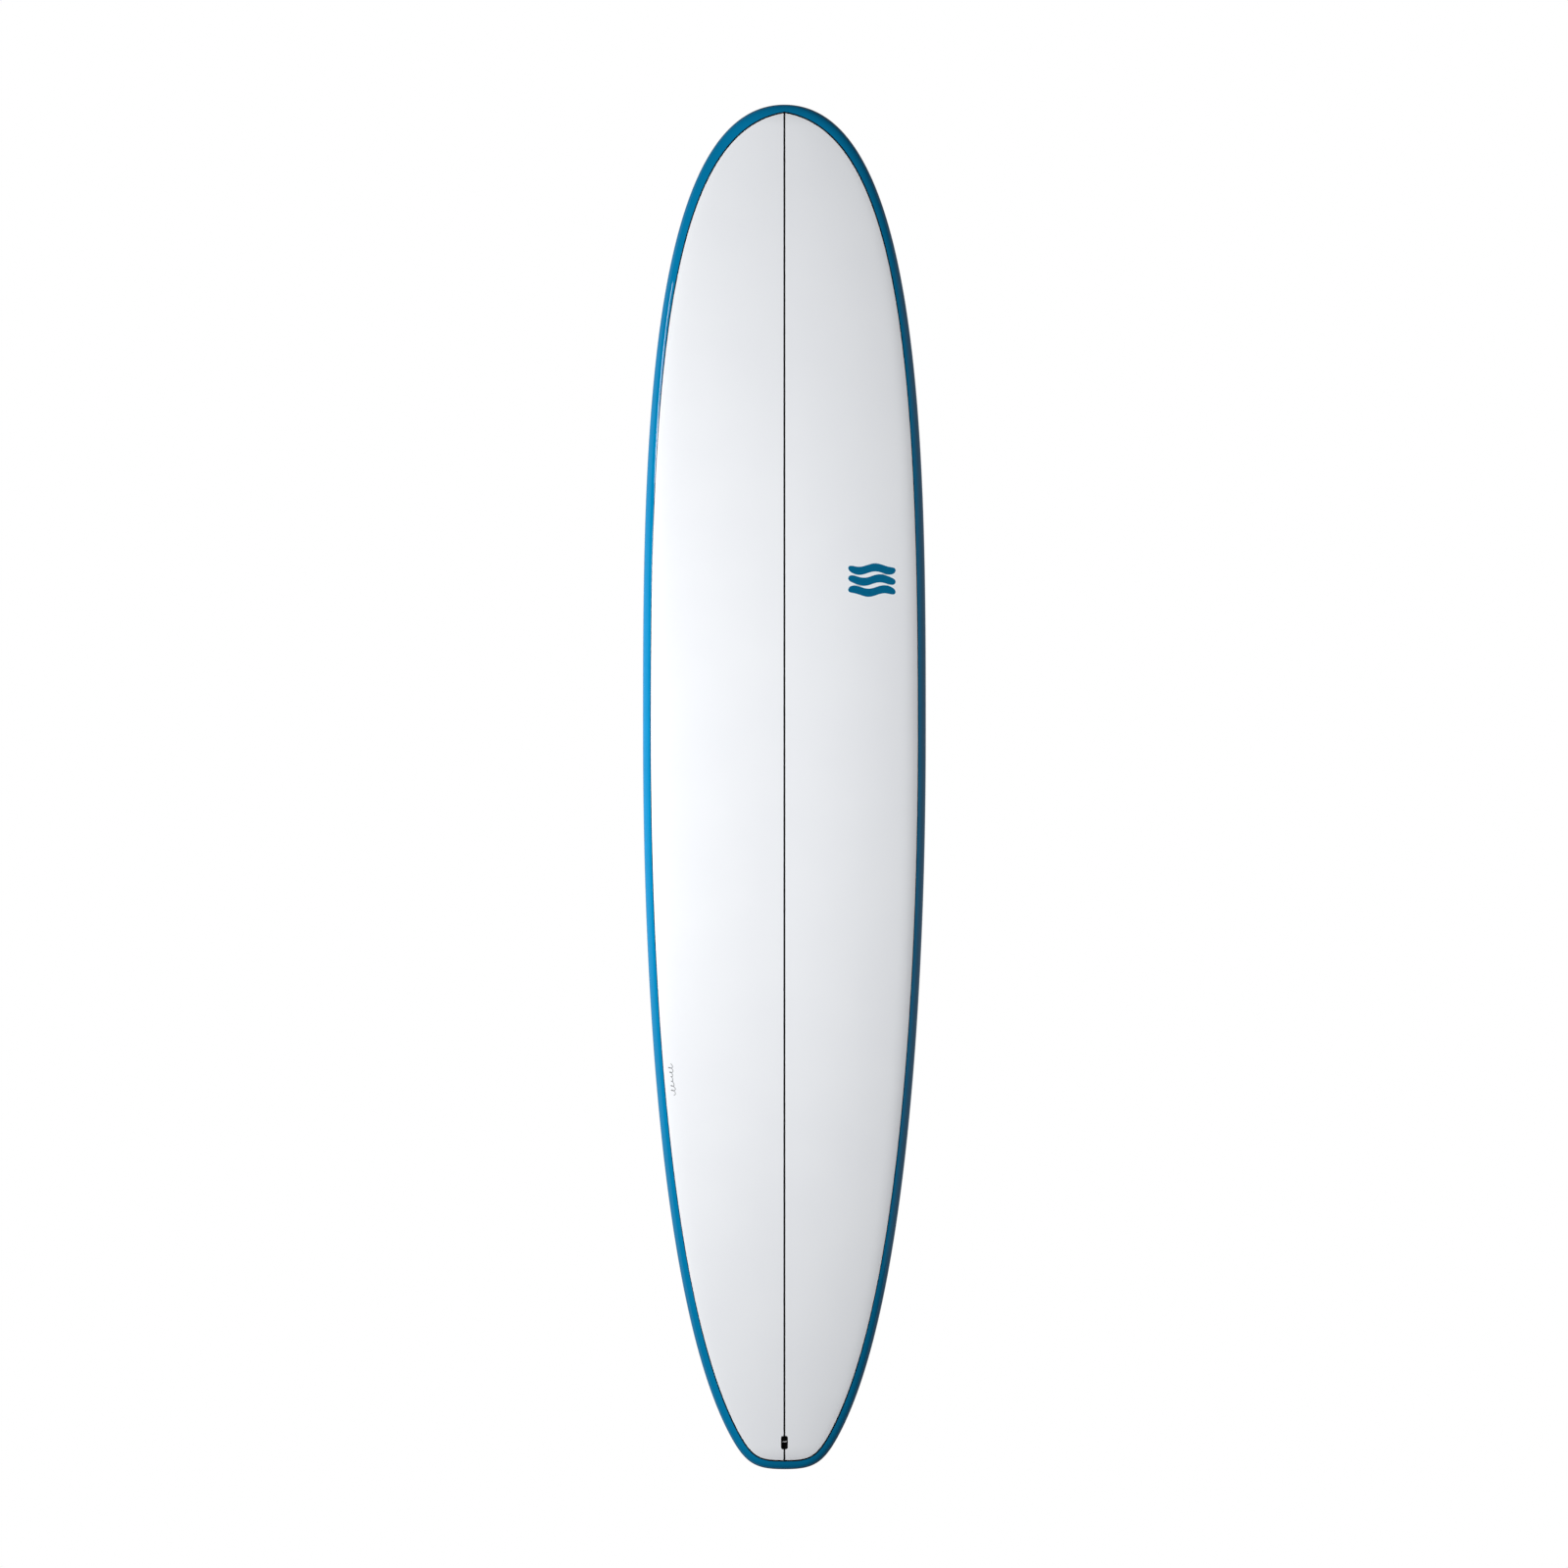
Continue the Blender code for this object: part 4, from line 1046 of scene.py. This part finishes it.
# %% Side plugs and grub screws
SIDE_TAB = (6.0 * MM, 14.4 * MM)
PLUG_RADIUS = 12.5
PLUG_PROFILE = [(12.1, -13.5), (12.5, -13.1), (12.5, -0.25), (12.4, -0.06), (12.2, 0.0)]
PLUG_POCKET = (PLUG_RADIUS, -14.0, 10.0)
PLUG_SLOT_DEPTH = 11.2 * MM
GAP = 0.3 * MM
GRUB_LEAN = math.radians(20.0)
GRUB_ENTRY = 8.2 * MM
GRUB_HOLE = (2.3, -9.7, 4.0)
GRUB_LOW = -7.3
GRUB_TURNS = 8
GRUB_THREAD = [(2.0, 0.2), (1.7, 0.5)]
GRUB_PROFILE = [
    (1.0, -8.2), (1.4, -7.9), (2.0, GRUB_LOW), *thread(GRUB_LOW, GRUB_TURNS, GRUB_THREAD),
    (2.0, -1.5), (1.8, -1.2),
]
HEX_SOCKET = (1.15, -3.4, 0.0, 6)


def fit_plug(tag, laid, y):
    """Sink a plug with its grub screw into the bottom, at y in the frame of a side fin."""
    centre = laid @ Matrix.Translation((0.0, y, 0.0))
    lean = laid @ Matrix.Translation((GRUB_ENTRY, y, 0.0)) @ Matrix.Rotation(GRUB_LEAN, 4, "Y")
    plug = stack_rings(f"plug_{tag}", round_rings(PLUG_PROFILE), centre, 64)
    combine(
        plug, "DIFFERENCE",
        block("slot", laid, [side + 2 * GAP for side in SIDE_TAB], (-PLUG_SLOT_DEPTH, ABOVE), y),
        drill("grub_hole", lean, *GRUB_HOLE),
    )
    finish_piece(plug, BOARD, NYLON, [f"side_plug_{tag}"])
    grub = stack_rings(f"grub_{tag}", round_rings(GRUB_PROFILE), lean, 24)
    combine(grub, "DIFFERENCE", drill("socket", lean, *HEX_SOCKET))
    finish_piece(grub, BOARD, STEEL, [f"side_grub_{tag}"])
    combine(bottom_skin, "DIFFERENCE", drill("plug_pocket", centre, *PLUG_POCKET, 64))


# %% [markdown]
# The side fins are small copies of the same kind of foil. They toe in a little towards the nose,
# which their frames already hold, so left and right take the same numbers.

# %% Side fins
SIDE_LEADING = [(0.054, 0.0), (0.036, 0.045), (0.002, 0.088), (-0.060, 0.097)]
SIDE_TRAILING = [(-0.052, 0.0), (-0.036, 0.036), (-0.040, 0.070), (-0.060, 0.097)]
SIDE_THICKNESS = 6.2 * MM
SIDE_CLEARANCE = 0.6 * MM
SIDE_TAB_HEIGHTS = (-10.5 * MM, 1.3 * MM)
PLUG_HALF_SPACING = 33.0 * MM

for hand, laid in SIDE_FRAMES.items():
    blade = fin_blade(f"side_fin_blade_{hand}", SIDE_LEADING, SIDE_TRAILING, SIDE_THICKNESS,
                      SIDE_CLEARANCE, laid)
    for end, y in (("front", PLUG_HALF_SPACING), ("rear", -PLUG_HALF_SPACING)):
        combine(blade, "UNION", block("tab", laid, SIDE_TAB, SIDE_TAB_HEIGHTS, y))
        fit_plug(f"{hand}_{end}", laid, y)
    finish_piece(blade, BOARD, COMPOSITE, [f"side_fin_{hand}"])

# %% [markdown]
# Now that every pocket is cut, the two skins and the two lines of the stringer can have their
# finish. The lines replace nothing: the stringer inside the board stays as it is.

# %% Finish the skins
finish_piece(deck_skin, BOARD, WHITE, ["deck_laminate"])
finish_piece(bottom_skin, BOARD, WHITE, ["bottom_laminate"])
finish_piece(deck_line, BOARD, STRINGER_SEEN)
finish_piece(bottom_line, BOARD, STRINGER_SEEN)

# %% [markdown]
# The mark on the deck is a plain device of three waves. Each wave is a strip of a grid whose
# middle line swings and whose ends are rounded off. The same strips a little larger, in the
# pale print, lie below the blue ones. A pattern in the deck's own finish could draw them, but a
# film of its own has an edge that stays sharp from near by.

# %% Printed waves
MARK_CENTRE = (0.176, 1.788)
MARK_LENGTH = 96.0 * MM
WAVE_SPACING = 22.0 * MM
WAVE_HEIGHT = 16.5 * MM
WAVE_SWING = 3.5 * MM
WAVE_TURNS = 0.75
WAVE_STAGGER = 0.9
WAVE_END_POWER = 8
WAVE_COLUMNS = 64
WAVE_ROWS = 6
FILM = 0.3 * MM
PALE_EDGE = 2.0 * MM
PALE_PROUD = 0.08 * MM
BLUE_PROUD = 0.14 * MM


def wave_strips(name, grow, proud):
    bm = bmesh.new()
    length = MARK_LENGTH + 2 * grow
    for wave in (-1, 0, 1):

        def place(row, column):
            along = 2.0 * column / WAVE_COLUMNS - 1.0
            half = (WAVE_HEIGHT / 2.0 + grow) * (1.0 - along**WAVE_END_POWER) ** 0.5
            swing = WAVE_SWING * math.sin(math.tau * WAVE_TURNS * along + WAVE_STAGGER * wave)
            up = wave * WAVE_SPACING + swing + half * (2.0 * row / WAVE_ROWS - 1.0)
            return skin_point(MARK_CENTRE[0] + along * length / 2.0, MARK_CENTRE[1] + up, 1, proud)

        lay_sheet(bm, WAVE_ROWS, WAVE_COLUMNS, place)
    weld(bm)
    obj = new_object(name, bm)
    thicken(obj, FILM)
    return obj


finish_piece(wave_strips("wave_mark_ground", PALE_EDGE, PALE_PROUD), BOARD, PRINT_PALE)
finish_piece(wave_strips("wave_mark", 0.0, BLUE_PROUD), BOARD, PRINT_BLUE,
             ["deck_decal"])

# %% [markdown]
# A shaper signs the board's numbers in soft pencil, here close to the left rail. They are only a
# loose wavy stroke: two sine waves, one across the line of writing and one along it, whose loops
# swell and shrink. A pencil line is half a millimetre wide, and this one is drawn at twice that
# so that it can be seen.

# %% Pencil stroke
STROKE_WIDTH = 1.1 * MM
STROKE_STEPS = 220
STROKE_LOOPS = 6.5
STROKE_SWAY = (4.6 * MM, 2.6 * MM)
STROKE_SWELL = (0.65, 0.35)
SWELL_TURNS = 1.4
SWELL_START = 0.6
SWAY_LAG = 0.5
STROKE_START = Vector((-0.2295, 0.813))
STROKE_END = Vector((-0.2225, 0.754))
LOOK_AHEAD = 1e-3
LEAD_PROUD = 0.05 * MM
LEAD = 0.2 * MM


def stroke_point(t):
    """Plan position (x, station) of the pencil at t from 0 to 1."""
    turn = math.tau * STROKE_LOOPS * t
    swell = STROKE_SWELL[0] + STROKE_SWELL[1] * math.sin(math.tau * SWELL_TURNS * t + SWELL_START)
    aside = STROKE_SWAY[0] * swell * math.sin(turn)
    back = STROKE_SWAY[1] * math.cos(turn + SWAY_LAG)
    x, station = STROKE_START.lerp(STROKE_END, t)
    return Vector((x + aside, station + back))


def place_stroke(row, column):
    t = row / STROKE_STEPS
    ahead = (stroke_point(t + LOOK_AHEAD) - stroke_point(t - LOOK_AHEAD)).normalized()
    aside = Vector((ahead.y, -ahead.x)) * STROKE_WIDTH * (column - 0.5)
    x, station = stroke_point(t) + aside
    return skin_point(x, station, 1, LEAD_PROUD)


pencil = bmesh.new()
lay_sheet(pencil, STROKE_STEPS, 1, place_stroke)
bmesh.ops.recalc_face_normals(pencil, faces=pencil.faces)
stroke = new_object("pencil_stroke", pencil)
thicken(stroke, LEAD)
finish_piece(stroke, BOARD, PENCIL)

# %% [markdown]
# The foam halves and the stringer inside keep their shapes from the frame. They only need their
# real finishes in place of the frame's plain ones.

# %% Finishes of the core
for name, material in (
    ("foam_core_left", FOAM), ("foam_core_right", FOAM), ("stringer", PLY),
):
    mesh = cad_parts[name].data
    mesh.materials.clear()
    mesh.materials.append(material)
print("core finished")

# %% [markdown]
# The floor is plain white to the eye, but it gives the board only a part of that light, so that
# the rails keep their shading. One node tells the camera's own rays from all others. From below,
# the floor lets the eye through, and it casts no shadow, so that lamps below it still reach the
# board.

# %% Floor
EYE_WHITE = 1.0
FLOOR_GLOW = 0.3
FLOOR_HALF = 60.0

floor_mesh = bmesh.new()
bmesh.ops.create_grid(floor_mesh, x_segments=1, y_segments=1, size=FLOOR_HALF)
floor = new_object("floor", floor_mesh)
floor.visible_shadow = False
paper = bpy.data.materials.new("white_paper_floor")
paper.use_nodes = True
tree = paper.node_tree
tree.nodes.clear()
seen = add_node(tree, "LightPath").outputs["Is Camera Ray"]
glow = add_node(tree, "MapRange", {"Value": seen, "To Min": FLOOR_GLOW, "To Max": EYE_WHITE})
light = add_node(tree, "Emission", {"Strength": glow.outputs["Result"]}).outputs[0]
under = add_node(tree, "NewGeometry").outputs["Backfacing"]
clear = add_node(tree, "BsdfTransparent").outputs[0]
sheet = add_node(tree, "MixShader", {0: under, 1: light, 2: clear}).outputs[0]
add_node(tree, "OutputMaterial", {"Surface": sheet})
floor.data.materials.append(paper)
print("the floor gives the board", FLOOR_GLOW, "of its white")

# %% [markdown]
# What lies behind the floor's edge is white to the eye as well, and gives even less light, a
# little bluer than white, as a studio's walls far away would.

# %% Sky
SKY_GLOW = 0.04

world = bpy.data.worlds.new("studio")
bpy.context.scene.world = world
world.use_nodes = True
tree = world.node_tree
tree.nodes.clear()
seen = add_node(tree, "LightPath").outputs["Is Camera Ray"]
tint = add_node(tree, "Mix", {0: seen, 6: colour("#E6ECF5"), 7: colour("#FFFFFF")},
                data_type="RGBA").outputs[2]
glow = add_node(tree, "MapRange", {"Value": seen, "To Min": SKY_GLOW, "To Max": EYE_WHITE})
sky = add_node(tree, "Background", {"Color": tint, "Strength": glow.outputs["Result"]})
add_node(tree, "OutputWorld", {"Surface": sky.outputs[0]})
print("the sky gives the board", SKY_GLOW, "of its white")

# %% [markdown]
# The board is seen from straight above the deck, with the nose up. A plan view could use a camera
# without perspective, but a very long lens far away is what a studio would use, and it shows the
# plan almost as true.

# %% Camera
SENSOR = 36.0
LENS = 600.0
FRAME_HEIGHT = 3.1534
AIM = Vector((-0.0008, 0.0063, 0.19))
CLIP_END = 500.0

camera_data = bpy.data.cameras.new("camera")
camera_data.sensor_width = SENSOR
camera_data.lens = LENS
camera_data.clip_end = CLIP_END
camera = bpy.data.objects.new("camera", camera_data)
camera.location = AIM + Vector((0.0, 0.0, FRAME_HEIGHT * LENS / SENSOR))
bpy.context.scene.collection.objects.link(camera)
bpy.context.scene.camera = camera
bpy.context.scene.view_settings.view_transform = "Standard"
print("camera", [round(value, 3) for value in camera.location])

# %% [markdown]
# A large soft box high on the left makes the deck fade from left to right. Two low ones, side and
# far_side, lift the outer faces of the rails. All three give only matt light, because their
# mirror images would show on the curved rails as patches. Shine comes from three others that give
# nothing else: streak is the narrow bright line on the left rail, shade a faint one on the right,
# and glint the bright bar on the leash pin. The glint is a large lamp that would show in the nose
# too, so it lights the pin alone. The lamp below keeps the underside readable.

# %% Lights
def add_soft_box(name, at, aim, size, watts, matt=True, gloss=True):
    data = bpy.data.lights.new(name, "AREA")
    data.shape = "RECTANGLE"
    data.size, data.size_y = size
    data.energy = watts
    lamp = bpy.data.objects.new(name, data)
    lamp.location = at
    lamp.rotation_euler = (Vector(aim) - Vector(at)).to_track_quat("-Z", "Y").to_euler()
    lamp.visible_camera = False
    lamp.visible_diffuse = matt
    lamp.visible_glossy = gloss
    bpy.context.scene.collection.objects.link(lamp)
    print(name, "at", at, "gives", watts, "W")
    return lamp


add_soft_box("key", at=(-1.55, 0.03, 2.85), aim=(0.0, 0.03, 0.15), size=(1.4, 1.4),
             watts=119.5, gloss=False)
add_soft_box("side", at=(-1.0, 0.1, -0.17), aim=(-0.28, 0.1, 0.17), size=(1.1, 0.25),
             watts=16.0, gloss=False)
add_soft_box("far_side", at=(2.0, 0.0, -0.3), aim=(0.28, 0.0, 0.17), size=(2.2, 0.5),
             watts=6.0, gloss=False)
add_soft_box("streak", at=(-2.1, 0.71, 1.0), aim=(-0.27, 0.7, 0.2), size=(0.82, 0.12),
             watts=5.0, matt=False)
add_soft_box("shade", at=(3.0, 0.0, 0.6), aim=(0.0, 0.0, 0.2), size=(2.6, 1.2),
             watts=1.7, matt=False)
glint = add_soft_box("glint", at=(0.0, 0.5, 3.4), aim=(0.0, -1.32, 0.2), size=(2.0, 2.0),
                     watts=70.0, matt=False)
only_pin = bpy.data.collections.new("lit_by_glint")
only_pin.objects.link(leash_pin)
glint.light_linking.receiver_collection = only_pin
add_soft_box("under", at=(-1.4, 0.0, -2.4), aim=(0.0, 0.0, 0.1), size=(2.0, 3.0), watts=60.0)
